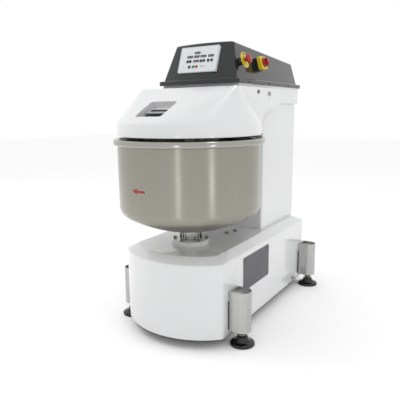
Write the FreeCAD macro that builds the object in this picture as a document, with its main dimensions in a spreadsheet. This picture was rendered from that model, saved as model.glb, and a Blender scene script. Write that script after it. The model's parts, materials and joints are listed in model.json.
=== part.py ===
import FreeCAD, Part
import math
import os
import re

import Sketcher
from FreeCAD import Placement, Rotation, Vector

# Floor-standing spiral dough mixer.  Millimetres, +Z up, front towards -Y.
# The origin is on the floor in the middle of the machine's footprint.

DIMENSIONS = {
    # bowl, its rolled rim and its dished bottom
    "bowl_axis_y": -236, "bowl_radius": 313, "bowl_wall": 2.5, "bowl_bottom_z": 455,
    "knuckle_radius": 50, "dish_angle": 30, "bowl_top_z": 855, "rim_radius": 330,
    "rim_width": 19.5, "rim_bottom_z": 839.5, "rim_top_z": 866.5,
    # bowl hub, shaft and flange
    "hub_radius": 50, "hub_bottom_z": 412.6, "groove_depth": 4, "groove_width": 7,
    "groove_height": 30, "groove_lift": 6, "bowl_shaft_radius": 28, "bowl_shaft_bottom_z": 130,
    "hub_disc_radius": 86, "hub_disc_z": 412, "hub_disc_bevel": 3, "hub_gap": 2,
    "hub_plug_depth": 10, "hub_hole_radius": 74, "hub_bolt_circle": 72, "hub_bolt_radius": 8.5,
    "base_bolt_height": 9, "tension_bolt_radius": 10.5,
    # bowl drive
    "bearing_wall": 12, "bearing_tube_radius": 66, "bearing_tube_z": 240,
    "bearing_flare_radius": 92, "bearing_flare_z": 350, "pulley_rim": 12, "pulley_boss": 16,
    "bowl_pulley_radius": 190, "bowl_belt_z": 150, "bowl_belt_width": 36,
    "gearmotor_y": 214, "gearmotor_pulley_radius": 48, "gearmotor_shaft_radius": 14,
    "gearmotor_shaft_stub": 8, "gearbox_length": 150, "gearbox_width": 140, "gearbox_height": 110,
    "gearbox_z": 200, "gearbox_gap": 0.5, "gearmotor_radius": 60, "gearmotor_length": 205,
    "gearmotor_axis_z": 262, "hanger_length": 110, "hanger_width": 100, "hanger_z": 300,
    # base
    "sheet": 3, "base_half_width": 251, "base_front_y": -489, "base_bow": 0.41,
    "base_nose": 0.135, "base_rear_y": 550, "base_rear_corner": 20, "base_softness": 8,
    "base_bottom_z": 44, "base_top_z": 392, "crown_height": 26, "crown_inset": 44,
    "floor_plate_z": 38, "floor_plate_thickness": 8,
    "panel_front_y": -200, "panel_rear_y": 67, "panel_low_z": 189, "panel_high_z": 343,
    "panel_thickness": 2, "panel_corner": 6, "panel_lap": 20, "panel_screw_inset": 14,
    # levelling feet and their housings
    "foot_x": 300, "foot_front_y": -302, "foot_rear_y": 513, "housing_radius": 38,
    "housing_wall": 4, "housing_low_z": 63, "housing_high_z": 241, "housing_standoff": 7,
    "housing_seat_z": 196, "rim_recess": 12, "cap_thickness": 6, "nut_low_z": 72,
    "nut_thickness": 14, "stem_radius": 9, "stem_high_z": 150, "pad_radius": 53,
    "pad_height": 37, "thread_gap": 0.05, "stem_nut_radius": 17, "stem_nut_height": 12,
    "stem_bevel": 4,
    # column, its rear door, vents, control box and cable gland
    "column_half_width": 186, "column_front_y": 124, "column_rear_y": 540, "column_corner": 10,
    "door_half_width": 150, "door_low_z": 440, "door_high_z": 960, "door_lap": 15,
    "rear_cover_thickness": 2, "vent_half_width": 70, "vent_height": 8, "gland_x": 145,
    "gland_z": 408, "cable_hole_radius": 6, "box_width": 240, "box_depth": 110,
    "box_height": 290, "box_z": 480,
    # head
    "head_half_width": 200, "head_front_y": -158, "head_rear_y": 550, "head_low_z": 1013,
    "head_high_z": 1094, "head_floor": 6, "head_wall": 4, "head_corner": 14,
    "spindle_hole_radius": 60.5, "motor_hole_radius": 30,
    # spiral drive: spindle, countershaft and motor
    "spindle_y": -66, "spindle_radius": 30, "spindle_low_z": 880, "spindle_high_z": 1100,
    "spindle_flange": 14, "spindle_bore": 46, "spindle_tube_radius": 58, "spindle_root_radius": 66,
    "spindle_plate_radius": 82, "spindle_neck_radius": 60, "spindle_neck": 30,
    "spindle_drop": 75, "spindle_plate": 12,
    "spindle_pulley_radius": 80, "second_belt_z": 1050, "second_belt_width": 22,
    "counter_y": 230, "counter_radius": 20, "counter_small_radius": 40, "counter_big_radius": 150,
    "counter_low_z": 1022, "counter_bore": 33, "counter_tube_radius": 42,
    "counter_plate_radius": 62, "counter_plate": 8, "counter_web_low": 9, "counter_web_high": 19,
    "counter_rim": 14, "first_belt_z": 1085, "first_belt_width": 28, "motor_y": 440,
    "motor_radius": 88, "motor_low_z": 690, "motor_bevel": 12, "motor_flange": 8,
    "motor_flange_z": 985, "motor_shaft_z": 980, "motor_shaft_lift": 4, "motor_shaft_gap": 0.3,
    "motor_pulley_radius": 30, "motor_shaft_radius": 14, "belt_thickness": 6, "belt_gap": 0.3,
    "belt_inset": 2, "bearing_height": 20, "bearing_gap": 0.05,
    # spiral tool and breaker bar
    "bar_radius": 18, "arm_radius": 22, "spiral_low_z": 548, "spiral_high_z": 850,
    "spiral_low_radius": 50, "spiral_high_radius": 104, "spiral_pitch": 230,
    "spiral_hub_radius": 48, "spiral_hub_low_z": 832, "breaker_radius": 22, "breaker_tip": 8,
    "breaker_tip_height": 10, "breaker_flange": 10, "breaker_flange_height": 12,
    "breaker_low_z": 492, "bracket_low_z": 978, "bracket_front_y": -282,
    "bracket_rear_y": -172, "bracket_half_width": 48, "bracket_corner": 20, "tongue_step": 20,
    "tongue_lap": 50, "relief_radius": 83,
    "guard_radius": 304, "guard_sheet": 2, "guard_angle": 40, "guard_lift": 6,
    # lid, its hand recess and its hinge
    "lid_sheet": 2.5, "lid_radius": 312, "lid_low_z": 879, "lid_fold_z": 932, "lid_top_z": 1078,
    "lid_half_width": 247, "lid_top_front_y": -258, "lid_rear_y": 179, "lid_skirt_y": -9,
    "lid_sweep": 150, "lid_tab_y": 92, "lid_tab_z": 990, "lid_lip": 15, "lid_corner": 14,
    "lid_nose": 10,
    "pan_x": -27, "pan_y": -434, "pan_width": 134, "pan_length": 134, "pan_depth": 24,
    "pan_corner": 14, "pan_sheet": 2, "pan_sunk": 1.8, "slot_side": 6, "slot_front": -50,
    "slot_rear": 45, "grip_radius": 5, "grip_offset": 3, "grip_lift": 1,
    "hinge_y": 53, "hinge_z": 1053, "stay_y": -62, "stay_z": 1059, "pin_radius": 6,
    "pin_reach": 8, "pin_boss_radius": 18, "pin_gap": 0.5, "hinge_plate": 8,
    "hinge_plate_rear": 26, "hinge_plate_front": 22, "hinge_plate_low": 24,
    "pin_head_radius": 10, "stay_bolt_radius": 9, "bolt_head": 6, "bolt_bevel": 3,
    # console cover and control panel
    "cover_wall": 3, "cover_bow": 0.116, "cover_nose": 0.095, "flange_half_width": 208,
    "flange_front_y": -200, "flange_rear_y": 565, "flange_rear_corner": 20,
    "flange_high_z": 1114, "flange_softness": 7, "flange_screw_z": 1103,
    "cover_half_width": 190, "cover_front_y": -184, "cover_rear_y": 557, "cover_rear_corner": 28,
    "roof_half_width": 148, "roof_front_y": -126, "roof_rear_y": 541, "roof_top_z": 1274,
    "roof_centre_z": 1265, "roof_slope": 4.3, "roof_softness": 12,
    "panel_tilt": 20, "screen_y": -148.5, "screen_z": 1199, "screen_width": 198,
    "screen_height": 120, "screen_depth": 18, "screen_corner": 7, "slot_depth": 40,
    "key_radius": 6.2, "key_gap": 0.4, "key_proud": 2.2, "key_depth": 6, "key_bevel": 0.8,
    # side controls, on the sloping right face
    "stop_y": -96, "switch_y": 82, "control_z": 1185, "control_bore": 9, "collar_radius": 17,
    "disc_radius": 34, "disc_low": 26, "disc_high": 28.5, "mount_length": 56, "mount_width": 50,
    "mount_height": 16, "plate_side": 58, "plate_high": 36, "plate_corner": 9,
    "plate_softness": 2.5, "plate_bore": 7, "plate_bore_depth": 12, "grip_length": 33,
    "grip_width": 12, "grip_low": 43, "grip_height": 15, "grip_corner": 3,
    # a length that goes right through any part
    "through": 900,
}

TURN_STEPS = {"right": 1, "left": -1}
HUB_BOLTS = 6
TENSION_BOLTS = [(71, -27), (85, 32)]
GROOVES = 22
VENT_ROWS = [*range(470, 590, 20), *range(820, 940, 20)]
KEY_COLUMNS = [-54.0, -40.0, 15.0, 30.0, 52.5, 70.0]
KEY_ROW = -8.0
LAST_ROW = -33.5
LAST_COLUMNS = [-40.5, -20.0, -3.5]
FLANGE_SCREWS = [-70, 150, 380]
DOOR_SCREWS = [450, 700, 950]
DOOR_SCREW_X = 157
EARTH_STUD = (395, 64)

# half sections of small turned pieces, as (radius, height)
GLAND = [(5, 0), (13, 0), (13, 8), (10, 10), (10, 16), (8, 20), (5, 20)]
MUSHROOM = [(0, 10), (8.6, 10), (8.6, 42), (19, 42), (20.5, 44), (20.5, 50), (16, 54.5), (0, 56)]
KNOB = [(0, 28), (6.6, 28), (6.6, 36.5), (21, 36.5), (21, 42), (18, 44), (0, 44)]
SCREW = [(0, 0), (5.5, 0), (5.5, 1.6), (3.6, 3.4), (0, 3.8)]
EARTH_NUT = [(0, 0), (8, 0), (8, 4), (5, 7), (0, 7)]
# the shoulder of a foot pad, as (inset from its edge, height)
PAD_SHOULDER = [(3, 0), (0, 3), (0, 9), (6, 14), (16, 19), (24, 26), (30, 37)]

doc = FreeCAD.newDocument("spiral_dough_mixer")
dims = doc.addObject("Spreadsheet::Sheet", "dims")
for row, (alias, value) in enumerate(DIMENSIONS.items(), start=1):
    dims.set(f"A{row}", alias)
    dims.set(f"B{row}", str(value))
    dims.setAlias(f"B{row}", alias)
doc.recompute()

DISH_RADIUS = "((bowl_radius - knuckle_radius * (1 - sin(dish_angle))) / sin(dish_angle))"
subparts = []


# ---------------------------------------------------------------- helpers

def bound(text):
    """An expression whose words are looked up in the sheet."""
    return re.sub(r"[a-z_]+", lambda m: f"dims.{m[0]}" if m[0] in DIMENSIONS else m[0], str(text))


def size(text):
    """The value of an expression now."""
    return float(dims.evalExpression(bound(text)))


def bind(thing, **sizes):
    for name, text in sizes.items():
        thing.setExpression(name, bound(text))
    return thing


def put(thing, x="0", y="0", z="0", turn=None):
    """Place an object, with an optional rotation, at a point given in sheet words."""
    thing.Placement = Placement(Vector(size(x), size(y), size(z)), turn or Rotation())
    for axis, text in zip("xyz", (x, y, z)):
        thing.setExpression(f"Placement.Base.{axis}", bound(text))
    return thing


def keep(thing, label):
    """Mark an object as a sub-part; the label names its file."""
    thing.Label = label
    subparts.append(thing)
    return thing


def new_body(label, kept=True):
    body = doc.addObject("PartDesign::Body", label)
    body.Label = label
    if kept:
        subparts.append(body)
    return body


def attach(sketch, body, role, lift, tilt, origin):
    plane = [f for f in body.Origin.OriginFeatures if f.Role == role][0]
    sketch.AttachmentSupport = [(plane, "")]
    sketch.MapMode = "FlatFace"
    offset = Vector(*[size(text) for text in origin]) + Vector(0, 0, size(lift))
    sketch.AttachmentOffset = Placement(offset, Rotation(Vector(1, 0, 0), size(tilt)))
    for axis, text in zip("xyz", (origin[0], origin[1], f"{origin[2]} + {lift}")):
        sketch.setExpression(f"AttachmentOffset.Base.{axis}", bound(text))
    if str(tilt) != "0":
        sketch.setExpression("AttachmentOffset.Rotation.Angle", bound(tilt))


def hold_point(sketch, edge, end, x, y):
    """Tie one end of an edge to a point given in sheet words."""
    for kind, text, axis in (("DistanceX", x, -2), ("DistanceY", y, -1)):
        value = size(text)
        if str(text) == "0":
            sketch.addConstraint(Sketcher.Constraint("PointOnObject", edge, end, axis))
            continue
        index = sketch.addConstraint(Sketcher.Constraint(kind, -1, 1, edge, end, value))
        sketch.setExpression(f"Constraints[{index}]", bound(text))


def add_loop(sketch, corners):
    """A closed loop.  A corner is (x, y), or (x, y, centre_x, centre_y, turn) where the
    edge to the next corner is an arc that turns "left" or "right" about that centre."""
    first = sketch.GeometryCount
    starts = []
    for index, corner in enumerate(corners):
        following = corners[(index + 1) % len(corners)]
        start = Vector(size(corner[0]), size(corner[1]), 0)
        finish = Vector(size(following[0]), size(following[1]), 0)
        if len(corner) == 2:
            sketch.addGeometry(Part.LineSegment(start, finish), False)
            starts.append(1)
            continue
        centre = Vector(size(corner[2]), size(corner[3]), 0)
        low, high = (start, finish) if corner[4] == "left" else (finish, start)
        angles = [math.atan2(p.y - centre.y, p.x - centre.x) for p in (low, high)]
        circle = Part.Circle(centre, Vector(0, 0, 1), (start - centre).Length)
        sketch.addGeometry(Part.ArcOfCircle(circle, angles[0], angles[1]), False)
        starts.append(1 if corner[4] == "left" else 2)
    for index, corner in enumerate(corners):
        edge = first + index
        after = (index + 1) % len(corners)
        joined = ("Coincident", edge, 3 - starts[index], first + after, starts[after])
        sketch.addConstraint(Sketcher.Constraint(*joined))
        hold_point(sketch, edge, starts[index], corner[0], corner[1])
        if len(corner) > 2:
            following = corners[after]
            across = abs(size(following[0]) - size(corner[0]))
            along = abs(size(following[1]) - size(corner[1]))
            upright = along > across
            kind, text, axis = ("DistanceX", corner[2], -2) if upright else ("DistanceY", corner[3], -1)
            if str(text) == "0":
                sketch.addConstraint(Sketcher.Constraint("PointOnObject", edge, 3, axis))
            else:
                spot = sketch.addConstraint(Sketcher.Constraint(kind, -1, 1, edge, 3, size(text)))
                sketch.setExpression(f"Constraints[{spot}]", bound(text))


def draw(body, name, role, loops, lift="0", tilt="0", origin=("0", "0", "0")):
    """A sketch of closed loops on one of the body's own origin planes."""
    sketch = body.newObject("Sketcher::SketchObject", f"{body.Name}_{name}")
    attach(sketch, body, role, lift, tilt, origin)
    for corners in loops:
        add_loop(sketch, corners)
    return sketch


def draw_circle(body, name, role, radius, spots, lift="0", tilt="0", origin=("0", "0", "0")):
    """A sketch of equal circles at points given in sheet words."""
    sketch = body.newObject("Sketcher::SketchObject", f"{body.Name}_{name}")
    attach(sketch, body, role, lift, tilt, origin)
    for index, (x, y) in enumerate(spots):
        centre = Vector(size(x), size(y), 0)
        sketch.addGeometry(Part.Circle(centre, Vector(0, 0, 1), size(radius)), False)
        hold_point(sketch, index, 3, x, y)
        spot = sketch.addConstraint(Sketcher.Constraint("Radius", index, size(radius)))
        sketch.setExpression(f"Constraints[{spot}]", bound(radius))
    return sketch


def rectangle(low_x, high_x, low_y, high_y):
    return [(low_x, low_y), (high_x, low_y), (high_x, high_y), (low_x, high_y)]


def pad(body, sketch, length, backwards=False, both=False):
    feature = body.newObject("PartDesign::Pad", f"{sketch.Name}_pad")
    feature.Profile = sketch
    feature.Reversed = backwards
    if both:
        feature.Midplane = True
    return bind(feature, Length=length)


def pocket(body, sketch, length, backwards=False, both=False):
    feature = body.newObject("PartDesign::Pocket", f"{sketch.Name}_cut")
    feature.Profile = sketch
    feature.Reversed = backwards
    if both:
        feature.Midplane = True
    return bind(feature, Length=length)


def revolve(body, sketch):
    feature = body.newObject("PartDesign::Revolution", f"{sketch.Name}_turned")
    feature.Profile = sketch
    feature.ReferenceAxis = (sketch, ["V_Axis"])
    feature.Angle = 360
    return feature


def turned(label, profile, kept=True):
    """A turned piece from its half section, given as (radius, height) corners."""
    body = new_body(label, kept)
    revolve(body, draw(body, "section", "XZ_Plane", [profile]))
    return body


def soften(body, feature, radius, chosen):
    """Round the edges of a feature that the test picks."""
    doc.recompute()
    names = [f"Edge{n}" for n, edge in enumerate(feature.Shape.Edges, start=1) if chosen(edge)]
    rounded = body.newObject("PartDesign::Fillet", f"{feature.Name}_round")
    rounded.Base = (feature, names)
    bind(rounded, Radius=radius)
    doc.recompute()
    return rounded


def is_upright(edge):
    low, high = edge.BoundBox.ZMin, edge.BoundBox.ZMax
    return high - low > 1 and edge.BoundBox.XLength < 0.01 and edge.BoundBox.YLength < 0.01


def is_level_at(edge, height):
    return abs(edge.BoundBox.ZMin - height) < 0.01 and abs(edge.BoundBox.ZMax - height) < 0.01


def cylinder(name, radius, height):
    return bind(doc.addObject("Part::Cylinder", name), Radius=radius, Height=height)


def block(name, length, width, height):
    return bind(doc.addObject("Part::Box", name), Length=length, Width=width, Height=height)


def cut(name, base, tool):
    result = doc.addObject("Part::Cut", name)
    result.Base = base
    result.Tool = tool
    return result


def fuse(name, members):
    result = doc.addObject("Part::MultiFuse", name)
    result.Shapes = members
    return result


def group(label, members):
    """Separate solids that share one node."""
    result = doc.addObject("Part::Compound", label)
    result.Links = members
    return keep(result, label)


def bowed(half, front_y, rear_y, rear_corner, bow, nose):
    """A plan outline whose front bows out and whose corners are round.  The bow's depth and
    the front corners are given as shares of the half width, so sections stay alike."""
    reach = f"({half} * (1 + {bow} ^ 2) / (2 * {bow}))"
    centre = f"({front_y} + {reach})"
    corner = f"({half} * {nose})"
    side = f"({half} - {corner})"
    drop = f"sqrt(({reach} - {corner}) ^ 2 - {side} ^ 2)"
    grow = f"{reach} / ({reach} - {corner})"
    tip_x, tip_y = f"({side} * {grow})", f"({centre} - {drop} * {grow})"
    low, high = f"({centre} - {drop})", f"({rear_y} - {rear_corner})"
    inner = f"({half} - {rear_corner})"
    return [
        (f"-{tip_x}", tip_y, "0", centre, "left"),
        (tip_x, tip_y, side, low, "left"),
        (half, low),
        (half, high, inner, high, "left"),
        (inner, rear_y),
        (f"-{inner}", rear_y, f"-{inner}", high, "left"),
        (f"-({half})", high),
        (f"-({half})", low, f"-{side}", low, "left"),
    ]


# ---------------------------------------------------------------- bowl and its drive

def make_bowl():
    body = new_body("bowl")
    dish_y = f"bowl_bottom_z + {DISH_RADIUS}"
    join_x = "bowl_radius - knuckle_radius * (1 - sin(dish_angle))"
    join_z = f"bowl_bottom_z + {DISH_RADIUS} * (1 - cos(dish_angle))"
    wall_z = f"{join_z} + knuckle_radius * cos(dish_angle)"
    knuckle_x = "bowl_radius - knuckle_radius"
    inner = "bowl_radius - bowl_wall"
    section = draw(body, "section", "XZ_Plane", [[
        ("0", "bowl_bottom_z", "0", dish_y, "left"),
        (join_x, join_z, knuckle_x, wall_z, "left"),
        ("bowl_radius", wall_z),
        ("bowl_radius", "bowl_top_z"),
        (inner, "bowl_top_z"),
        (inner, wall_z, knuckle_x, wall_z, "right"),
        (f"{join_x} - bowl_wall * sin(dish_angle)", f"{join_z} + bowl_wall * cos(dish_angle)",
         "0", dish_y, "right"),
        ("0", "bowl_bottom_z + bowl_wall"),
    ]])
    revolve(body, section)
    outer_r = "rim_width / 2"
    inner_r = "(rim_width / 2 - bowl_wall)"
    middle = "rim_radius - rim_width / 2"
    low, high = "rim_bottom_z + rim_width / 2", "rim_top_z - rim_width / 2"
    loops = []
    for radius in (outer_r, inner_r):
        loops.append([
            (f"{middle} + {radius}", low),
            (f"{middle} + {radius}", high, middle, high, "left"),
            (f"{middle} - {radius}", high),
            (f"{middle} - {radius}", low, middle, low, "left"),
        ])
    revolve(body, draw(body, "rim", "XZ_Plane", loops))
    return put(body, y="bowl_axis_y")


def make_bowl_hub():
    body = new_body("bowl_hub")
    dish_y = f"bowl_bottom_z + {DISH_RADIUS}"
    top_z = f"{dish_y} - sqrt({DISH_RADIUS} ^ 2 - hub_radius ^ 2)"
    section = draw(body, "section", "XZ_Plane", [[
        ("0", "bowl_shaft_bottom_z"),
        ("bowl_shaft_radius", "bowl_shaft_bottom_z"),
        ("bowl_shaft_radius", "hub_bottom_z"),
        ("hub_radius", "hub_bottom_z"),
        ("hub_radius", top_z, "0", dish_y, "right"),
        ("0", "bowl_bottom_z"),
    ]])
    revolve(body, section)
    groove = draw(body, "groove", "XY_Plane", [rectangle(
        "hub_radius - groove_depth", "hub_radius + groove_depth", "-groove_width / 2", "groove_width / 2")],
        lift="hub_bottom_z + groove_lift")
    first = pocket(body, groove, "groove_height", backwards=True)
    pattern = body.newObject("PartDesign::PolarPattern", "bowl_hub_grooves")
    pattern.Originals = [first]
    pattern.Axis = (groove, ["N_Axis"])
    pattern.Angle = 360
    pattern.Occurrences = GROOVES
    body.Tip = pattern
    return put(body, y="bowl_axis_y")


def pulley(label, radius, bore, low_z, width, kept=True):
    """A belt pulley with a rim, a web and a hub."""
    top = f"{low_z} + {width}"
    middle = f"{low_z} + {width} / 2"
    web = f"{width} / 6"
    boss, rim = f"{bore} + pulley_boss", f"{radius} - pulley_rim"
    return turned(label, [
        (bore, low_z), (boss, low_z), (boss, f"{middle} - {web}"), (rim, f"{middle} - {web}"),
        (rim, low_z), (radius, low_z), (radius, top), (rim, top), (rim, f"{middle} + {web}"),
        (boss, f"{middle} + {web}"), (boss, top), (bore, top),
    ], kept)


def drum(bore, radius, low_z, high_z):
    """The half section of a plain ring."""
    return [(bore, low_z), (radius, low_z), (radius, high_z), (bore, high_z)]


def belt(name, big_y, big_radius, small_y, small_radius, low_z, width):
    """An open belt around two pulleys on the middle plane, larger pulley first."""
    span = f"abs({small_y} - {big_y})"
    lean = f"(({big_radius} - {small_radius}) / {span})"
    across = f"sqrt(1 - {lean} ^ 2)"
    body = new_body(name, kept=False)
    loops = []
    way = "1" if size(f"{small_y} - {big_y}") > 0 else "-1"
    for extra in ("belt_gap", "(belt_gap + belt_thickness)"):
        spots = []
        for centre, radius in ((big_y, big_radius), (small_y, small_radius)):
            reach = f"({radius} + {extra})"
            spots.append((f"{reach} * {across}", f"{centre} + {way} * {reach} * {lean}"))
        (big_x, big_up), (small_x, small_up) = spots
        turn = "left" if way == "1" else "right"
        loops.append([
            (big_x, big_up),
            (small_x, small_up, "0", small_y, turn),
            (f"-{small_x}", small_up),
            (f"-{big_x}", big_up, "0", big_y, turn),
        ])
    pad(body, draw(body, "path", "XY_Plane", loops, lift=low_z), width)
    return body


def make_hub_flange():
    disc = new_body("hub_flange")
    bore, plug_z = "bowl_shaft_radius + hub_gap", "base_top_z - hub_plug_depth"
    revolve(disc, draw(disc, "section", "XZ_Plane", [[
        (bore, plug_z), ("hub_hole_radius", plug_z), ("hub_hole_radius", "base_top_z"),
        ("hub_disc_radius", "base_top_z"), ("hub_disc_radius", "hub_disc_z - hub_disc_bevel"),
        ("hub_disc_radius - hub_disc_bevel", "hub_disc_z"), (bore, "hub_disc_z"),
    ]]))
    put(disc, y="bowl_axis_y")
    bolts = []
    for number in range(HUB_BOLTS):
        angle = 360 / HUB_BOLTS * (number + 0.5)
        head = cylinder(f"hub_bolt_{number}", "hub_bolt_radius", "base_bolt_height")
        x = f"hub_bolt_circle * cos({angle})"
        bolts.append(put(head, x, f"bowl_axis_y + hub_bolt_circle * sin({angle})", "hub_disc_z"))
    for number, (x, y) in enumerate(TENSION_BOLTS):
        head = cylinder(f"tension_bolt_{number}", "tension_bolt_radius", "base_bolt_height")
        bolts.append(put(head, x, y, "base_top_z"))
    group("base_bolts", bolts)


def make_bowl_drive():
    bore, plug_z = "bowl_shaft_radius + bearing_wall", "base_top_z - hub_plug_depth"
    housing = turned("bowl_bearing_housing", [
        (bore, "bearing_tube_z"), ("bearing_tube_radius", "bearing_tube_z"),
        ("bearing_tube_radius", "bearing_flare_z"), ("bearing_flare_radius", "bearing_flare_z"),
        ("bearing_flare_radius", plug_z), (bore, plug_z),
    ])
    put(housing, y="bowl_axis_y")
    wheel = pulley("bowl_pulley", "bowl_pulley_radius", "bowl_shaft_radius", "bowl_belt_z",
                   "bowl_belt_width")
    put(wheel, y="bowl_axis_y")
    shaft, wide = "gearmotor_shaft_radius", "gearmotor_pulley_radius"
    low, high = "bowl_belt_z - gearmotor_shaft_stub", "gearbox_z - gearbox_gap"
    belt_top = "bowl_belt_z + bowl_belt_width"
    output = turned("gearmotor_pulley", [
        (0, low), (shaft, low), (shaft, "bowl_belt_z"), (wide, "bowl_belt_z"), (wide, belt_top),
        (shaft, belt_top), (shaft, high), (0, high),
    ])
    put(output, y="gearmotor_y")
    case = put(block("gearbox_case", "gearbox_length", "gearbox_width", "gearbox_height"),
               "-gearbox_length / 2", "gearmotor_y - gearbox_width / 2", "gearbox_z")
    drive = cylinder("gearmotor_drum", "gearmotor_radius", "gearmotor_length")
    put(drive, "0", "gearmotor_y + gearmotor_radius", "gearmotor_axis_z", Rotation(Vector(1, 0, 0), -90))
    hanger = put(block("gearbox_hanger", "hanger_length", "hanger_width", "base_top_z - sheet - hanger_z"),
                 "-hanger_length / 2", "gearmotor_y - hanger_width / 2", "hanger_z")
    keep(fuse("bowl_gearmotor", [case, drive, hanger]), "bowl_gearmotor")


# ---------------------------------------------------------------- base

def base_outline(inset, side_inset=None):
    """The base's plan, shrunk by an inset."""
    half = f"(base_half_width - {side_inset or inset})"
    return bowed(half, f"(base_front_y + {inset})", f"(base_rear_y - {inset})", "base_rear_corner",
                 "base_bow", "base_nose")


def make_base():
    body = new_body("base_shell")
    eaves_z = "(base_top_z - crown_height)"
    plan = draw(body, "plan", "XY_Plane", [base_outline("0")], lift="base_bottom_z")
    pad(body, plan, f"{eaves_z} - base_bottom_z")
    crown = loft(body, "AdditiveLoft",
                 draw(body, "eaves", "XY_Plane", [base_outline("0")], lift=eaves_z),
                 draw(body, "crest", "XY_Plane", [base_outline("crown_inset")], lift="base_top_z"))
    heights = (size("base_top_z"), size(eaves_z))
    soften(body, crown, "base_softness", lambda e: any(is_level_at(e, h) for h in heights))
    room = draw(body, "room", "XY_Plane", [base_outline("sheet")], lift="base_bottom_z")
    pocket(body, room, f"{eaves_z} - sheet - base_bottom_z", backwards=True)
    loft(body, "SubtractiveLoft",
         draw(body, "inner_eaves", "XY_Plane", [base_outline("sheet")], lift=f"{eaves_z} - sheet"),
         draw(body, "inner_crest", "XY_Plane", [base_outline("(crown_inset + sheet)")],
              lift="base_top_z - sheet"))
    hole = draw_circle(body, "hub_hole", "XY_Plane", "hub_hole_radius", [("0", "bowl_axis_y")],
                       lift="base_top_z")
    pocket(body, hole, "hub_plug_depth")
    windows = rectangle("panel_front_y + panel_lap", "panel_rear_y - panel_lap",
                        "panel_low_z + panel_lap", "panel_high_z - panel_lap")
    pocket(body, draw(body, "windows", "YZ_Plane", [windows]), "through", both=True)
    plate = new_body("floor_plate")
    pad(plate, draw(plate, "plan", "XY_Plane", [base_outline("sheet")], lift="floor_plate_z"),
        "floor_plate_thickness")


def make_side_panels():
    panels = []
    for side in (1, -1):
        body = new_body(f"side_panel_{side + 1}", kept=False)
        shape = rectangle("panel_front_y", "panel_rear_y", "panel_low_z", "panel_high_z")
        slab = pad(body, draw(body, "face", "YZ_Plane", [shape], lift=f"{side} * base_half_width"),
                   "panel_thickness", backwards=side < 0)
        thickness = size("panel_thickness")
        soften(body, slab, "panel_corner", lambda e: abs(e.BoundBox.XLength - thickness) < 0.01)
        panels.append(body)
    group("side_panels", panels)


def d_outline(side, inset, back):
    """A D-shaped foot section: flat towards the machine, round outwards."""
    radius = f"(housing_radius - {inset})"
    centre = f"{side} * foot_x"
    turn = "left" if side > 0 else "right"
    return [
        (f"{side} * ({back})", f"-{radius}"),
        (centre, f"-{radius}", centre, "0", turn),
        (centre, radius),
        (f"{side} * ({back})", radius),
    ]


def make_foot(where, x, y):
    """One levelling pad and its threaded stem."""
    shoulder = [(f"pad_radius - {inset}", height) for inset, height in PAD_SHOULDER]
    foot_pad = turned(f"foot_pad_{where}", [
        (0, 0), *shoulder, (0, "pad_height"),
    ])
    put(foot_pad, x, y, "0")
    nut_top = "pad_height + stem_nut_height"
    stem = turned(f"foot_stem_{where}", [
        (0, "pad_height"), ("stem_nut_radius - stem_bevel / 2", "pad_height"),
        ("stem_nut_radius", "pad_height + stem_bevel"), ("stem_nut_radius", nut_top),
        ("stem_nut_radius - stem_bevel", f"{nut_top} + stem_bevel"),
        ("stem_radius", f"{nut_top} + stem_bevel"), ("stem_radius", "stem_high_z"), (0, "stem_high_z"),
    ])
    put(stem, x, y, "0")


def make_feet():
    """The four feet, and their housings with the nuts that the stems run in."""
    housings = []
    places = {"front": "foot_front_y", "rear": "foot_rear_y"}
    for end, y in places.items():
        for name, side in TURN_STEPS.items():
            where = f"{end}_{name}"
            back = "base_half_width + housing_standoff"
            body = new_body(f"foot_housing_{where}", kept=False)
            shell = draw(body, "outside", "XY_Plane", [d_outline(side, "0", back)], lift="housing_low_z")
            pad(body, shell, "housing_high_z - housing_low_z")
            seat = rectangle(f"{side} * base_half_width", f"{side} * ({back})",
                             "-housing_radius", "housing_radius")
            pad(body, draw(body, "seat", "XY_Plane", [seat], lift="housing_seat_z"),
                "housing_high_z - housing_seat_z")
            inner = d_outline(side, "housing_wall", f"{back} + housing_wall")
            pocket(body, draw(body, "recess", "XY_Plane", [inner], lift="housing_high_z"), "rim_recess")
            pocket(body, draw(body, "hollow", "XY_Plane", [inner], lift="housing_low_z"),
                   "housing_high_z - rim_recess - cap_thickness - housing_low_z", backwards=True)
            housings.append(put(body, y=y))
            nut = new_body(f"foot_nut_{where}", kept=False)
            pad(nut, draw(nut, "plan", "XY_Plane", [inner], lift="nut_low_z"), "nut_thickness")
            thread = draw_circle(nut, "thread", "XY_Plane", "stem_radius + thread_gap",
                                 [(f"{side} * foot_x", "0")], lift="nut_low_z - 1")
            pocket(nut, thread, "nut_thickness + 2", backwards=True)
            housings.append(put(nut, y=y))
            make_foot(where, f"{side} * foot_x", y)
    group("foot_housings", housings)


# ---------------------------------------------------------------- column and head

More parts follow.
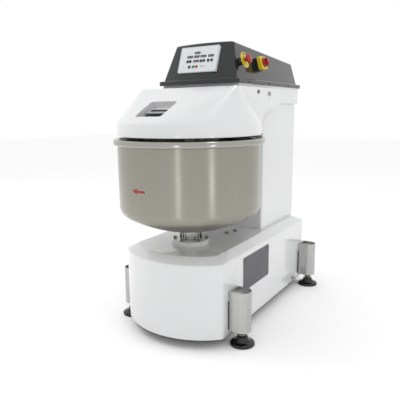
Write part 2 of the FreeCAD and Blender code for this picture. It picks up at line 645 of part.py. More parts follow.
def make_column():
    body = new_body("column_shell")
    inner = "column_half_width - sheet"
    loops = [
        rectangle("-column_half_width", "column_half_width", "column_front_y", "column_rear_y"),
        rectangle(f"-({inner})", inner, "column_front_y + sheet", "column_rear_y - sheet"),
    ]
    tube = pad(body, draw(body, "plan", "XY_Plane", loops, lift="base_top_z"),
               "head_low_z - base_top_z")
    edge = size("column_half_width")
    soften(body, tube, "column_corner",
           lambda e: is_upright(e) and abs(abs(e.BoundBox.XMax) - edge) < 0.01)
    door = rectangle("-door_half_width", "door_half_width", "door_low_z", "door_high_z")
    pocket(body, draw(body, "doorway", "XZ_Plane", [door], lift="-column_rear_y"),
           "4 * sheet", both=True)
    cable_hole = draw_circle(body, "cable_hole", "XZ_Plane", "cable_hole_radius",
                             [("gland_x", "gland_z")], lift="-column_rear_y")
    pocket(body, cable_hole, "4 * sheet", both=True)
    cover = new_body("rear_cover")
    face = rectangle("-(door_half_width + door_lap)", "door_half_width + door_lap",
                     "door_low_z - door_lap", "door_high_z + door_lap")
    pad(cover, draw(cover, "face", "XZ_Plane", [face], lift="-column_rear_y"),
        "rear_cover_thickness", backwards=True)
    slots = [rectangle("-vent_half_width", "vent_half_width", z, f"{z} + vent_height") for z in VENT_ROWS]
    pocket(cover, draw(cover, "vents", "XZ_Plane", slots, lift="-column_rear_y"),
           "4 * rear_cover_thickness", both=True)
    enclosure = block("control_box_case", "box_width", "box_depth", "box_height")
    keep(put(enclosure, "-box_width / 2", "column_front_y + sheet", "box_z"), "control_box")
    gland = turned("cable_gland", GLAND)
    put(gland, "gland_x", "column_rear_y", "gland_z", Rotation(Vector(1, 0, 0), -90))


def make_head():
    body = new_body("head_housing")
    plan = rectangle("-head_half_width", "head_half_width", "head_front_y", "head_rear_y")
    blank = pad(body, draw(body, "plan", "XY_Plane", [plan], lift="head_low_z"),
                "head_high_z - head_low_z")
    soften(body, blank, "head_corner", is_upright)
    room = rectangle("-head_half_width + head_wall", "head_half_width - head_wall",
                     "head_front_y + head_wall", "head_rear_y - head_wall")
    pocket(body, draw(body, "room", "XY_Plane", [room], lift="head_high_z"),
           "head_high_z - head_low_z - head_floor")
    for name, y in (("spindle", "spindle_y"), ("motor", "motor_y")):
        hole = draw_circle(body, f"{name}_hole", "XY_Plane", f"{name}_hole_radius", [("0", y)],
                           lift="head_low_z + 2 * head_floor")
        pocket(body, hole, "3 * head_floor")
    for side in (1, -1):
        pin = draw_circle(body, f"pin_hole_{side + 1}", "YZ_Plane", "pin_radius", [("hinge_y", "hinge_z")],
                          lift=f"{side} * (head_half_width - pin_reach)")
        pocket(body, pin, "2 * pin_reach", backwards=side > 0)


def make_spiral_drive():
    """The housings, bearings, shafts, pulleys and belts between the motor and the spiral."""
    low, plate_z = "head_low_z - spindle_drop", "head_low_z - spindle_plate"
    neck_z = "head_low_z + spindle_neck"
    put(turned("spindle_housing", [
        ("spindle_bore", low), ("spindle_tube_radius", low), ("spindle_root_radius", plate_z),
        ("spindle_plate_radius", plate_z), ("spindle_plate_radius", "head_low_z"),
        ("spindle_neck_radius", "head_low_z"), ("spindle_neck_radius", neck_z), ("spindle_bore", neck_z),
    ]), y="spindle_y")
    floor_z = "head_low_z + head_floor"
    plate_z, tube_z = f"{floor_z} + counter_plate", "second_belt_z - cover_wall"
    put(turned("countershaft_housing", [
        ("counter_bore", floor_z), ("counter_plate_radius", floor_z), ("counter_plate_radius", plate_z),
        ("counter_tube_radius", plate_z), ("counter_tube_radius", tube_z), ("counter_bore", tube_z),
    ]), y="counter_y")
    make_bearings()
    spindle_shoulder = "spindle_low_z + spindle_flange"
    put(turned("spindle", [
        (0, "spindle_low_z"), ("spiral_hub_radius", "spindle_low_z"),
        ("spiral_hub_radius", spindle_shoulder), ("spindle_radius", spindle_shoulder),
        ("spindle_radius", "spindle_high_z"), (0, "spindle_high_z"),
    ]), y="spindle_y")
    put(pulley("spindle_pulley", "spindle_pulley_radius", "spindle_radius", "second_belt_z",
               "second_belt_width"), y="spindle_y")
    small_top, big_top = "second_belt_z + second_belt_width", "first_belt_z + first_belt_width"
    web_low, web_high = "first_belt_z + counter_web_low", "first_belt_z + counter_web_high"
    rim = "counter_big_radius - counter_rim"
    put(turned("countershaft", [
        (0, "counter_low_z"), ("counter_radius", "counter_low_z"), ("counter_radius", "second_belt_z"),
        ("counter_small_radius", "second_belt_z"), ("counter_small_radius", small_top),
        ("counter_radius", small_top), ("counter_radius", web_low), (rim, web_low), (rim, "first_belt_z"),
        ("counter_big_radius", "first_belt_z"), ("counter_big_radius", big_top), (rim, big_top),
        (rim, web_high), (0, web_high),
    ]), y="counter_y")
    shaft_z = "motor_shaft_z + motor_shaft_lift"
    put(turned("motor_pulley", [
        (0, shaft_z), ("motor_shaft_radius", shaft_z), ("motor_shaft_radius", "first_belt_z"),
        ("motor_pulley_radius", "first_belt_z"), ("motor_pulley_radius", big_top), (0, big_top),
    ]), y="motor_y")
    bore, flange = "motor_shaft_radius + motor_shaft_gap", "motor_radius + motor_flange"
    put(turned("spiral_motor", [
        (0, "motor_low_z"), ("motor_radius - motor_bevel", "motor_low_z"),
        ("motor_radius", "motor_low_z + motor_bevel"), ("motor_radius", "motor_flange_z"),
        (flange, "motor_flange_z"), (flange, "head_low_z"), (bore, "head_low_z"),
        (bore, "motor_shaft_z"), (0, "motor_shaft_z"),
    ]), y="motor_y")
    group("drive_belts", [
        belt("first_belt", "counter_y", "counter_big_radius", "motor_y", "motor_pulley_radius",
             "first_belt_z + belt_inset", "first_belt_width - 2 * belt_inset"),
        belt("second_belt", "spindle_y", "spindle_pulley_radius", "counter_y", "counter_small_radius",
             "second_belt_z + belt_inset", "second_belt_width - 2 * belt_inset"),
        belt("bowl_belt", "bowl_axis_y", "bowl_pulley_radius", "gearmotor_y", "gearmotor_pulley_radius",
             "bowl_belt_z + belt_inset", "bowl_belt_width - 2 * belt_inset"),
    ])


def make_bearings():
    """Rings between the shafts and their housings, as (axis, shaft, housing bore, height)."""
    bowl_bore = "bowl_shaft_radius + bearing_wall"
    stations = (
        ("bowl_axis_y", "bowl_shaft_radius", bowl_bore, "bearing_tube_z + 5"),
        ("bowl_axis_y", "bowl_shaft_radius", bowl_bore, "bearing_flare_z - 5"),
        ("spindle_y", "spindle_radius", "spindle_bore", "head_low_z - 68"),
        ("spindle_y", "spindle_radius", "spindle_bore", "head_low_z + 7"),
        ("counter_y", "counter_radius", "counter_bore", "counter_low_z"),
    )
    rings = []
    for number, (y, shaft, bore, low) in enumerate(stations):
        section = drum(f"{shaft} + bearing_gap", bore, low, f"{low} + bearing_height")
        rings.append(put(turned(f"bearing_{number}", section, kept=False), y=y))
    group("shaft_bearings", rings)


def make_spiral_tool():
    """The spiral hook, hung from the spindle."""
    rise = "(spiral_high_z - spiral_low_z)"
    path = doc.addObject("Part::Helix", "spiral_path")
    flare = f"atan((spiral_high_radius - spiral_low_radius) / {rise})"
    bind(path, Pitch="spiral_pitch", Height=rise, Radius="spiral_low_radius", Angle=flare)
    put(path, "0", "0", "spiral_low_z")
    ring = bind(doc.addObject("Part::Circle", "spiral_section"), Radius="bar_radius")
    put(ring, "spiral_low_radius", "0", "spiral_low_z", Rotation(Vector(1, 0, 0), 90))
    hook = doc.addObject("Part::Sweep", "spiral_hook")
    hook.Sections = [ring]
    hook.Spine = (path, ["Edge1"])
    hook.Solid = True
    hook.Frenet = True
    toe = bind(doc.addObject("Part::Sphere", "spiral_toe"), Radius="bar_radius")
    put(toe, "spiral_low_radius", "0", "spiral_low_z")
    turn = f"(360 * {rise} / spiral_pitch)"
    end_x, end_y = f"spiral_high_radius * cos({turn})", f"spiral_high_radius * sin({turn})"
    shoulder = bind(doc.addObject("Part::Sphere", "spiral_shoulder"), Radius="arm_radius")
    put(shoulder, end_x, end_y, "spiral_high_z")
    arm = cylinder("spiral_arm", "arm_radius", "spiral_high_radius")
    aim = Rotation(Vector(0, 0, 1), size(turn)).multiply(Rotation(Vector(0, 1, 0), 90))
    put(arm, "0", "0", "spiral_high_z", aim)
    boss = cylinder("spiral_boss", "spiral_hub_radius", "spindle_low_z - spiral_hub_low_z")
    put(boss, "0", "0", "spiral_hub_low_z")
    tool = keep(fuse("spiral_tool", [boss, arm, shoulder, hook, toe]), "spiral_tool")
    put(tool, y="spindle_y")


def make_breaker():
    flange_z = "bracket_low_z - breaker_flange_height"
    put(turned("breaker_bar", [
        (0, "breaker_low_z"), ("breaker_radius - breaker_tip", "breaker_low_z"),
        ("breaker_radius", "breaker_low_z + breaker_tip_height"), ("breaker_radius", flange_z),
        ("breaker_radius + breaker_flange", flange_z),
        ("breaker_radius + breaker_flange", "bracket_low_z"), (0, "bracket_low_z"),
    ]), y="bowl_axis_y")
    bracket = new_body("breaker_bracket")
    plan = rectangle("-bracket_half_width", "bracket_half_width", "bracket_front_y", "bracket_rear_y")
    arm_pad = pad(bracket, draw(bracket, "plan", "XY_Plane", [plan], lift="bracket_low_z"),
                  "head_low_z - bracket_low_z")
    rear_y = size("bracket_rear_y")
    soften(bracket, arm_pad, "bracket_corner", lambda e: is_upright(e) and e.BoundBox.YMax < rear_y)
    strip = rectangle("-bracket_half_width", "bracket_half_width", "bracket_rear_y",
                      "head_front_y + tongue_lap")
    pad(bracket, draw(bracket, "tongue", "XY_Plane", [strip], lift="bracket_low_z + tongue_step"),
        "head_low_z - bracket_low_z - tongue_step")
    well = draw_circle(bracket, "relief", "XY_Plane", "relief_radius", [("0", "spindle_y")],
                       lift="bracket_low_z - 1")
    pocket(bracket, well, "head_low_z - bracket_low_z + 2", backwards=True)


def make_rear_guard():
    """A curved sheet behind the bowl's mouth, under the head."""
    guard = new_body("rear_guard")
    inner = "(guard_radius - guard_sheet)"
    outline = []
    for radius, turn in (("guard_radius", "left"), (inner, "right")):
        reach, y = f"{radius} * cos(guard_angle)", f"bowl_axis_y + {radius} * sin(guard_angle)"
        ends = [(reach, y), (f"-{reach}", y)]
        first, last = ends if turn == "left" else ends[::-1]
        outline += [(*first, "0", "bowl_axis_y", turn), last]
    low_z = "lid_low_z + guard_lift"
    pad(guard, draw(guard, "plan", "XY_Plane", [outline], lift=low_z), f"head_low_z - ({low_z})")


# ---------------------------------------------------------------- lid

LID_RISE = "((lid_top_z - lid_fold_z) / (lid_top_front_y - bowl_axis_y + lid_radius))"
LID_SLOPE = f"atan{LID_RISE}"
PAN_Z = f"(lid_fold_z + (pan_y - bowl_axis_y + lid_radius) * {LID_RISE})"


def lid_section(body, name, height, shrink, low):
    """The lid's plan at one level: round in front at the fold, square at the top."""
    half = f"(lid_half_width - {shrink})"
    if low:
        radius = f"(lid_radius - {shrink})"
        side_y = f"bowl_axis_y + sqrt({radius} ^ 2 - {half} ^ 2)"
        nose = f"bowl_axis_y - sqrt({radius} ^ 2 - lid_nose ^ 2)"
        loop = [
            (f"-{half}", side_y, "0", "bowl_axis_y", "left"),
            ("-lid_nose", nose),
            ("lid_nose", nose, "0", "bowl_axis_y", "left"),
            (half, side_y),
        ]
    else:
        front = f"(lid_top_front_y + {shrink})"
        bend = f"({front} + lid_corner)"
        loop = [
            (f"-{half}", bend, f"-{half} + lid_corner", bend, "left"),
            (f"-{half} + lid_corner", front),
            (f"{half} - lid_corner", front, f"{half} - lid_corner", bend, "left"),
            (half, bend),
        ]
    loop += [(half, f"lid_rear_y + {shrink}"), (f"-{half}", f"lid_rear_y + {shrink}")]
    return draw(body, name, "XY_Plane", [loop], lift=height)


def loft(body, kind, low, high):
    feature = body.newObject(f"PartDesign::{kind}", f"{low.Name}_loft")
    feature.Profile = low
    feature.Sections = [high]
    feature.Ruled = True
    return feature


def make_lid():
    body = new_body("lid_shell")
    band = lid_section(body, "band", "lid_low_z", "0", True)
    pad(body, band, "lid_fold_z - lid_low_z")
    loft(body, "AdditiveLoft", lid_section(body, "fold", "lid_fold_z", "0", True),
         lid_section(body, "crest", "lid_top_z", "0", False))
    room = lid_section(body, "room", "lid_low_z - 1", "lid_sheet", True)
    pocket(body, room, "lid_fold_z - lid_low_z + 1", backwards=True)
    loft(body, "SubtractiveLoft", lid_section(body, "inner_fold", "lid_fold_z", "lid_sheet", True),
         lid_section(body, "inner_crest", "lid_top_z - lid_sheet", "lid_sheet", False))
    mouth = rectangle("-lid_half_width + lid_lip", "lid_half_width - lid_lip",
                      "lid_top_front_y + lid_lip", "lid_rear_y + lid_lip")
    pocket(body, draw(body, "mouth", "XY_Plane", [mouth], lift="lid_top_z + 1"), "10 * lid_sheet")
    # each side's rear edge rises in a curve from the skirt to the hinge tab
    sweep_z = "(lid_tab_z - lid_sweep)"
    skirt_z = f"({sweep_z} + sqrt(lid_sweep ^ 2 - (lid_tab_y - lid_skirt_y) ^ 2))"
    drop = [
        ("lid_skirt_y", "lid_low_z - 20"),
        ("lid_rear_y + 60", "lid_low_z - 20"),
        ("lid_rear_y + 60", "lid_tab_z"),
        ("lid_tab_y", "lid_tab_z", "lid_tab_y", sweep_z, "left"),
        ("lid_skirt_y", skirt_z),
    ]
    pocket(body, draw(body, "rear_step", "YZ_Plane", [drop]), "through", both=True)
    opening = draw(body, "pan_opening", "XY_Plane", [pan_loop("0")], tilt=LID_SLOPE,
                   origin=("pan_x", "pan_y", PAN_Z))
    pocket(body, opening, "2 * pan_depth", both=True)
    for side in (1, -1):
        outline = rectangle("stay_y - hinge_plate_front", "hinge_y + hinge_plate_rear",
                            "hinge_z - hinge_plate_low", "lid_top_z - lid_sheet")
        plate = draw(body, f"hinge_plate_{side + 1}", "YZ_Plane", [outline],
                     lift=f"{side} * (lid_half_width - lid_sheet)")
        pad(body, plate, "hinge_plate", backwards=side > 0)
        bore = draw_circle(body, f"hinge_bore_{side + 1}", "YZ_Plane", "pin_radius + bearing_gap",
                           [("hinge_y", "hinge_z")], lift=f"{side} * (lid_half_width + lid_sheet)")
        pocket(body, bore, "2 * hinge_plate", backwards=side < 0)


def pan_loop(inset):
    """A rounded rectangle for the hand recess, shrunk by inset."""
    x, y = f"(pan_width / 2 - {inset})", f"(pan_length / 2 - {inset})"
    r = f"(pan_corner - {inset})"
    return [
        (f"-{x} + {r}", f"-{y}"), (f"{x} - {r}", f"-{y}", f"{x} - {r}", f"-{y} + {r}", "left"),
        (x, f"-{y} + {r}"), (x, f"{y} - {r}", f"{x} - {r}", f"{y} - {r}", "left"),
        (f"{x} - {r}", y), (f"-{x} + {r}", y, f"-{x} + {r}", f"{y} - {r}", "left"),
        (f"-{x}", f"{y} - {r}"), (f"-{x}", f"-{y} + {r}", f"-{x} + {r}", f"-{y} + {r}", "left"),
    ]


def make_pan():
    """The hand recess in the lid's slope, open below a grip bar."""
    pan = new_body("lid_recess")
    sunk = {"tilt": LID_SLOPE, "origin": ("pan_x", f"pan_y + pan_sunk * sin({LID_SLOPE})",
                                          f"{PAN_Z} - pan_sunk * cos({LID_SLOPE})")}
    pad(pan, draw(pan, "outside", "XY_Plane", [pan_loop("0")], **sunk), "pan_depth + pan_sheet",
        backwards=True)
    pocket(pan, draw(pan, "inside", "XY_Plane", [pan_loop("pan_sheet")], **sunk), "pan_depth")
    slot = rectangle("-pan_width / 2 + slot_side", "pan_width / 2 - slot_side", "slot_front", "slot_rear")
    pocket(pan, draw(pan, "slot", "XY_Plane", [slot], **sunk), "2 * pan_depth")
    grip = new_body("lid_grip_bar")
    depth = "(pan_depth + pan_sunk - grip_radius - grip_lift)"
    rod = draw_circle(grip, "rod", "YZ_Plane", "grip_radius", [(
        f"pan_y + grip_offset * cos({LID_SLOPE}) + {depth} * sin({LID_SLOPE})",
        f"{PAN_Z} + grip_offset * sin({LID_SLOPE}) - {depth} * cos({LID_SLOPE})")], lift="pan_x")
    pad(grip, rod, "pan_width - 2 * pan_sheet", both=True)


def make_hinges():
    """Pins that carry the lid, and the bolts of its gas stays."""
    pins, bolts = [], []
    inner, boss = "head_half_width - pin_reach", "lid_half_width - lid_sheet - hinge_plate - pin_gap"
    face = "lid_half_width + pin_gap"
    for side in (1, -1):
        turn = Rotation(Vector(0, 1, 0), 90 * side)
        pin = turned(f"hinge_pin_{side + 1}", [
            (0, inner), ("pin_radius", inner), ("pin_radius", "head_half_width"),
            ("pin_boss_radius", "head_half_width"), ("pin_boss_radius", boss), ("pin_radius", boss),
            ("pin_radius", face), *bolt_head("pin_head_radius", face),
        ], kept=False)
        pins.append(put(pin, "0", "hinge_y", "hinge_z", turn))
        bolt = turned(f"stay_bolt_{side + 1}", [
            (0, "lid_half_width"), *bolt_head("stay_bolt_radius", "lid_half_width"),
        ], kept=False)
        bolts.append(put(bolt, "0", "stay_y", "stay_z", turn))
    group("lid_hinge_pins", pins)
    group("lid_stay_bolts", bolts)


def bolt_head(radius, low):
    """The outer half section of a bevelled bolt head."""
    return [(radius, low), (radius, f"{low} + bolt_head - bolt_bevel"),
            (f"{radius} - bolt_bevel", f"{low} + bolt_head"), (0, f"{low} + bolt_head")]


# ---------------------------------------------------------------- console

def cover_outline(half, front_y, rear_y, rear_corner="cover_rear_corner"):
    return bowed(half, front_y, rear_y, rear_corner, "cover_bow", "cover_nose")


def console_body(label, shrink):
    """The console's outer form, or the room inside it when shrunk."""
    body = new_body(label, kept=False)
    foot = cover_outline(f"(cover_half_width - {shrink})", f"(cover_front_y + {shrink})",
                         f"(cover_rear_y - {shrink})")
    crest = cover_outline(f"(roof_half_width - {shrink})", f"(roof_front_y + {shrink})",
                          f"(roof_rear_y - {shrink})")
    loft(body, "AdditiveLoft", draw(body, "foot", "XY_Plane", [foot], lift="flange_high_z"),
         draw(body, "crest", "XY_Plane", [crest], lift="roof_top_z"))
    edge = f"(roof_centre_z - {shrink} - tan(roof_slope) * %s)"
    front, rear, top = "-through / 2", "through", "roof_top_z + cover_wall"
    above = [(front, edge % f"({front})"), (rear, edge % rear), (rear, f"{top} + 20 * cover_wall"),
             (front, f"{top} + 20 * cover_wall")]
    roof = pocket(body, draw(body, "roof", "YZ_Plane", [above]), "through", both=True)
    doc.recompute()

    def on_roof(edge):
        fall = size("tan(roof_slope)")
        height = size(f"roof_centre_z - {shrink}")
        return all(abs(height - v.Y * fall - v.Z) < 0.01 for v in edge.Vertexes)

    soften(body, roof, f"roof_softness - {shrink}", on_roof)
    return body


def plain_block(name, outline, low_z, high_z):
    """A straight-sided solid between two heights."""
    body = new_body(name, kept=False)
    pad(body, draw(body, "plan", "XY_Plane", [outline], lift=low_z), f"({high_z}) - ({low_z})")
    return body


def make_console():
    outside = console_body("console_outside", "0")
    inside = console_body("console_inside", "cover_wall")
    plan = cover_outline("flange_half_width", "flange_front_y", "flange_rear_y", "flange_rear_corner")
    rim = new_body("console_flange", kept=False)
    slab = pad(rim, draw(rim, "plan", "XY_Plane", [plan], lift="head_high_z"),
               "flange_high_z - head_high_z")
    soften(rim, slab, "flange_softness", lambda e: is_level_at(e, size("flange_high_z")))
    foot = cover_outline("(cover_half_width - cover_wall)", "(cover_front_y + cover_wall)",
                         "(cover_rear_y - cover_wall)")
    mouth = plain_block("console_mouth", foot, "flange_high_z - cover_wall - 1", "flange_high_z")
    below = rectangle("-head_half_width + head_wall", "head_half_width - head_wall",
                      "head_front_y + head_wall", "head_rear_y - head_wall")
    well = plain_block("console_well", below, "head_high_z - 1", "flange_high_z - cover_wall")
    shell = cut("console_shell", fuse("console_solid", [outside, rim]),
                fuse("console_hollow", [inside, mouth, well]))
    slot = block("screen_slot", "screen_width", "slot_depth", "screen_height")
    tilt = Rotation(Vector(1, 0, 0), -size("panel_tilt"))
    put(slot, "-screen_width / 2",
        "screen_y - slot_depth / 2 * cos(panel_tilt) - screen_height / 2 * sin(panel_tilt)",
        "screen_z + slot_depth / 2 * sin(panel_tilt) - screen_height / 2 * cos(panel_tilt)", tilt)
    keep(cut("console_cover", shell, slot), "console_cover")


def key_spots():
    """The places of the keys on the panel's face."""
    return [(x, KEY_ROW) for x in KEY_COLUMNS] + [(x, LAST_ROW) for x in LAST_COLUMNS]


def make_panel():
    body = new_body("control_panel")
    half_x, half_z = "(screen_width / 2)", "(screen_height / 2)"
    face = rectangle(f"-{half_x}", half_x, f"-{half_z}", half_z)
    where = ("0", "screen_z", "-screen_y")
    plate = pad(body, draw(body, "face", "XZ_Plane", [face], tilt="-panel_tilt", origin=where),
                "screen_depth", both=True)
    short = size("screen_depth")
    soften(body, plate, "screen_corner", lambda e: abs(e.Length - short) < 0.01)
    holes = draw_circle(body, "key_holes", "XZ_Plane", "key_radius + key_gap", key_spots(),
                        tilt="-panel_tilt", origin=where)
    pocket(body, holes, "screen_depth", backwards=True)


def make_keys():
    """Round membrane keys: seven black, one green, one red."""
    names = [f"key_{number}" for number in range(1, 8)] + ["start_key", "stop_key"]
    turn = Rotation(Vector(1, 0, 0), 90 - size("panel_tilt"))
    depth = "(screen_depth / 2)"
    for name, (u, v) in zip(names, key_spots()):
        key = turned(name, [
            (0, "-key_depth"), ("key_radius", "-key_depth"), ("key_radius", "key_proud - key_bevel"),
            ("key_radius - key_bevel", "key_proud"), (0, "key_proud"),
        ])
        put(key, u, f"screen_y + {v} * sin(panel_tilt) - {depth} * cos(panel_tilt)",
            f"screen_z + {v} * cos(panel_tilt) + {depth} * sin(panel_tilt)", turn)


def on_side(thing, y):
    """Stand a piece on the console's sloping right face, its axis square to the face."""
    lean = "((cover_half_width - roof_half_width) / (roof_top_z - flange_high_z))"
    turn = Rotation(Vector(0, 1, 0), 90 - size(f"atan({lean})"))
    return put(thing, f"cover_half_width - {lean} * (control_z - flange_high_z)", y, "control_z", turn)


def square(length, width):
    """A rectangle about the origin."""
    return rectangle(f"-{length} / 2", f"{length} / 2", f"-{width} / 2", f"{width} / 2")


def make_side_controls():
    """The emergency stop on its yellow disc, and the main switch on its yellow plate."""
    collar = turned("stop_collar", drum("control_bore", "collar_radius", "0", "disc_low"), kept=False)
    dish = turned("stop_disc", drum("control_bore", "disc_radius", "disc_low", "disc_high"), kept=False)
    mount = plain_block("switch_mount", square("mount_length", "mount_width"), "0", "mount_height")
    plate = new_body("switch_plate", kept=False)
    face = draw(plate, "plan", "XY_Plane", [square("plate_side", "plate_side")], lift="mount_height")
    corners = soften(plate, pad(plate, face, "plate_high - mount_height"), "plate_corner", is_upright)
    top = size("plate_high")
    soften(plate, corners, "plate_softness", lambda e: is_level_at(e, top))
    bore = draw_circle(plate, "bore", "XY_Plane", "plate_bore", [("0", "0")], lift="plate_high + 1")
    pocket(plate, bore, "plate_bore_depth")
    group("switch_mounts", [on_side(collar, "stop_y"), on_side(mount, "switch_y")])
    group("switch_plates", [on_side(dish, "stop_y"), on_side(plate, "switch_y")])
    on_side(turned("stop_button", MUSHROOM), "stop_y")
    knob = turned("switch_knob", KNOB)
    grip = draw(knob, "grip", "XY_Plane", [square("grip_length", "grip_width")], lift="grip_low")
    bar = pad(knob, grip, "grip_height")
    clear_z = size("grip_low") + 0.5
    soften(knob, bar, "grip_corner", lambda e: is_upright(e) and e.BoundBox.ZMin > clear_z)
    on_side(knob, "switch_y")


def make_screws():
    """Round-head screws that hold the side panels, the rear cover and the console."""
    screws = []

    def screw(x, y, z, turn, section=SCREW):
        head = turned(f"screw_{len(screws)}", section, kept=False)
        screws.append(put(head, x, y, z, turn))

    for side in (1, -1):
        sideways = Rotation(Vector(0, 1, 0), 90 * side)
        for y in ("panel_front_y + panel_screw_inset", "panel_rear_y - panel_screw_inset"):
            for z in ("panel_low_z + panel_screw_inset", "panel_high_z - panel_screw_inset"):
                screw(f"{side} * (base_half_width + panel_thickness)", y, z, sideways)
        for y in FLANGE_SCREWS:
            screw(f"{side} * flange_half_width", y, "flange_screw_z", sideways)
        for z in DOOR_SCREWS:
            screw(side * DOOR_SCREW_X, "column_rear_y + rear_cover_thickness", z,
                  Rotation(Vector(1, 0, 0), -90))
    screw("base_half_width", *EARTH_STUD, Rotation(Vector(0, 1, 0), 90), EARTH_NUT)
    group("cover_screws", screws)


# ---------------------------------------------------------------- build and export

def check(objects):
    """Stop if any feature failed or any sub-part is empty or broken."""
    for thing in objects:
        if "Invalid" in thing.State or "Error" in thing.State:
            raise RuntimeError(f"{thing.Label} failed: {thing.State}")
    for thing in subparts:
        if thing.Shape.isNull() or not thing.Shape.isValid():
            raise RuntimeError(f"{thing.Label} has no valid shape")


make_bowl()
make_bowl_hub()
make_hub_flange()
make_bowl_drive()
make_base()
make_side_panels()
make_feet()
make_column()
make_head()
make_spiral_drive()
make_spiral_tool()
make_breaker()
make_rear_guard()
make_lid()
make_pan()
make_hinges()
make_console()
make_panel()
make_keys()
make_side_controls()
make_screws()
doc.recompute()
check(doc.Objects)

os.makedirs("parts", exist_ok=True)
for part in subparts:
    part.Shape.exportStep(f"parts/{part.Label}.step")
print(f"{len(subparts)} sub-parts written")
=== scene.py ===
import json
import math

import bmesh
import bpy
from mathutils import Matrix, Vector


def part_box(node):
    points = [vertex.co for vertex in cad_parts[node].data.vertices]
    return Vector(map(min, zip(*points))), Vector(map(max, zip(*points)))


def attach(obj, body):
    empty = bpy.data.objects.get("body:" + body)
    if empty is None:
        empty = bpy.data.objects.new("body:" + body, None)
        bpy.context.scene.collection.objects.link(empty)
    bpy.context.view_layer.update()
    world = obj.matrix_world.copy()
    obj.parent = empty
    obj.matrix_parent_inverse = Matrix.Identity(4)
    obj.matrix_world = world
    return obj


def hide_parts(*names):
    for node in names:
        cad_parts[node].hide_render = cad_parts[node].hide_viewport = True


# A spiral dough mixer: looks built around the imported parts.  +Z up, front towards -Y.
# Outlines are written in millimetres and turned into metres when a mesh is made.

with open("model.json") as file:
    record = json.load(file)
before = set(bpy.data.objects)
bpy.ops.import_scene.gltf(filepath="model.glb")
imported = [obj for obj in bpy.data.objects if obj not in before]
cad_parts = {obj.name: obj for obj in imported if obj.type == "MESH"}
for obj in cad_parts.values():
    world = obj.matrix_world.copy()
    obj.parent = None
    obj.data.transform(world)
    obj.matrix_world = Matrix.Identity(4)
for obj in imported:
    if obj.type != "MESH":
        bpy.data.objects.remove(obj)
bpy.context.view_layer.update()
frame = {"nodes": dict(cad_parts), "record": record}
nodes = frame["nodes"]
body_of = {node: body for body, members in frame["record"]["behaviour"]["bodies"].items()
           for node in members}
slot_of = {entry["node"]: entry["material_slot"] for entry in frame["record"]["subparts"]}
joints = {joint["name"]: joint for joint in frame["record"]["behaviour"]["joints"]}

MM = 0.001
bowl_low, bowl_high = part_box("bowl")
BOWL_AXIS = (bowl_low + bowl_high) / 2
BOWL_AXIS.z = 0


# ---------------------------------------------------------------- camera, floor and light

CAMERA_PLACE = Vector((1.121, -1.918, 0.976))
CAMERA_YAW = math.radians(32.448)
CAMERA_PITCH = math.radians(10.922)
CAMERA_ROLL = math.radians(-0.613)
CAMERA_LENS = 41.17
CAMERA_SENSOR = 36
CAMERA_CLIP = (0.05, 50)


def make_camera():
    camera = bpy.data.objects.new("camera", bpy.data.cameras.new("camera"))
    ahead = Vector((-math.sin(CAMERA_YAW) * math.cos(CAMERA_PITCH),
                    math.cos(CAMERA_YAW) * math.cos(CAMERA_PITCH), -math.sin(CAMERA_PITCH)))
    level = Vector((math.cos(CAMERA_YAW), math.sin(CAMERA_YAW), 0))
    up = level.cross(ahead)
    right = level * math.cos(CAMERA_ROLL) + up * math.sin(CAMERA_ROLL)
    top = up * math.cos(CAMERA_ROLL) - level * math.sin(CAMERA_ROLL)
    turn = Matrix((right, top, -ahead)).transposed().to_4x4()
    camera.matrix_world = Matrix.Translation(CAMERA_PLACE) @ turn
    camera.data.lens = CAMERA_LENS
    camera.data.sensor_width = CAMERA_SENSOR
    camera.data.clip_start, camera.data.clip_end = CAMERA_CLIP
    bpy.context.collection.objects.link(camera)
    bpy.context.scene.camera = camera


def area_light(name, place, target, width, height, power, glint):
    """A soft box; without glint it lights but isn't mirrored in gloss."""
    light = bpy.data.lights.new(name, "AREA")
    light.shape = "RECTANGLE"
    light.size = width
    light.size_y = height
    light.energy = power
    lamp = bpy.data.objects.new(name, light)
    lamp.location = place
    lamp.visible_glossy = glint
    lamp.rotation_euler = (Vector(target) - Vector(place)).to_track_quat("-Z", "Y").to_euler()
    bpy.context.collection.objects.link(lamp)


def around_bowl(azimuth, distance, height):
    """A point at an azimuth from the front, seen from the bowl's axis."""
    angle = math.radians(azimuth)
    return BOWL_AXIS + Vector((distance * math.sin(angle), -distance * math.cos(angle), height))


MACHINE_MIDDLE = (0, 0, 0.65)
BASE_FRONT = (0, -0.4, 0.3)
WORLD_STRENGTH = 1.0
# soft boxes, as (name, place, target, width, height, power, glint)
SOFT_BOXES = (
    ("key", (-2.5, -1.0, 3.2), MACHINE_MIDDLE, 1.8, 1.8, 36, False),
    ("top", (0.62, 0.25, 3.4), MACHINE_MIDDLE, 0.3, 0.3, 6, True),
    ("right_fill", (3.0, 0.6, 1.4), MACHINE_MIDDLE, 1.2, 1.8, 13, False),
    ("front_fill", (0.9, -3.0, 0.8), BASE_FRONT, 1.4, 0.8, 5, False),
)
# upright strips whose images are the bright lines on the bowl, as (name, azimuth, width, power)
STRIPS = (("strip_left", 16.6, 0.22, 1.2), ("strip_right", 65.1, 0.26, 1.3))
STRIP_DISTANCE = 2.6
STRIP_MIDDLE = 0.42
STRIP_HEIGHT = 0.7


def make_lights():
    world = bpy.data.worlds.new("studio")
    bpy.context.scene.world = world
    world.use_nodes = True
    world.node_tree.nodes["Background"].inputs["Color"].default_value = (1, 1, 1, 1)
    world.node_tree.nodes["Background"].inputs["Strength"].default_value = WORLD_STRENGTH
    for box in SOFT_BOXES:
        area_light(*box)
    for name, azimuth, width, power in STRIPS:
        place = around_bowl(azimuth, STRIP_DISTANCE, STRIP_MIDDLE)
        area_light(name, place, around_bowl(0, 0, STRIP_MIDDLE), width, STRIP_HEIGHT, power, True)


FLOOR_HALF = 14


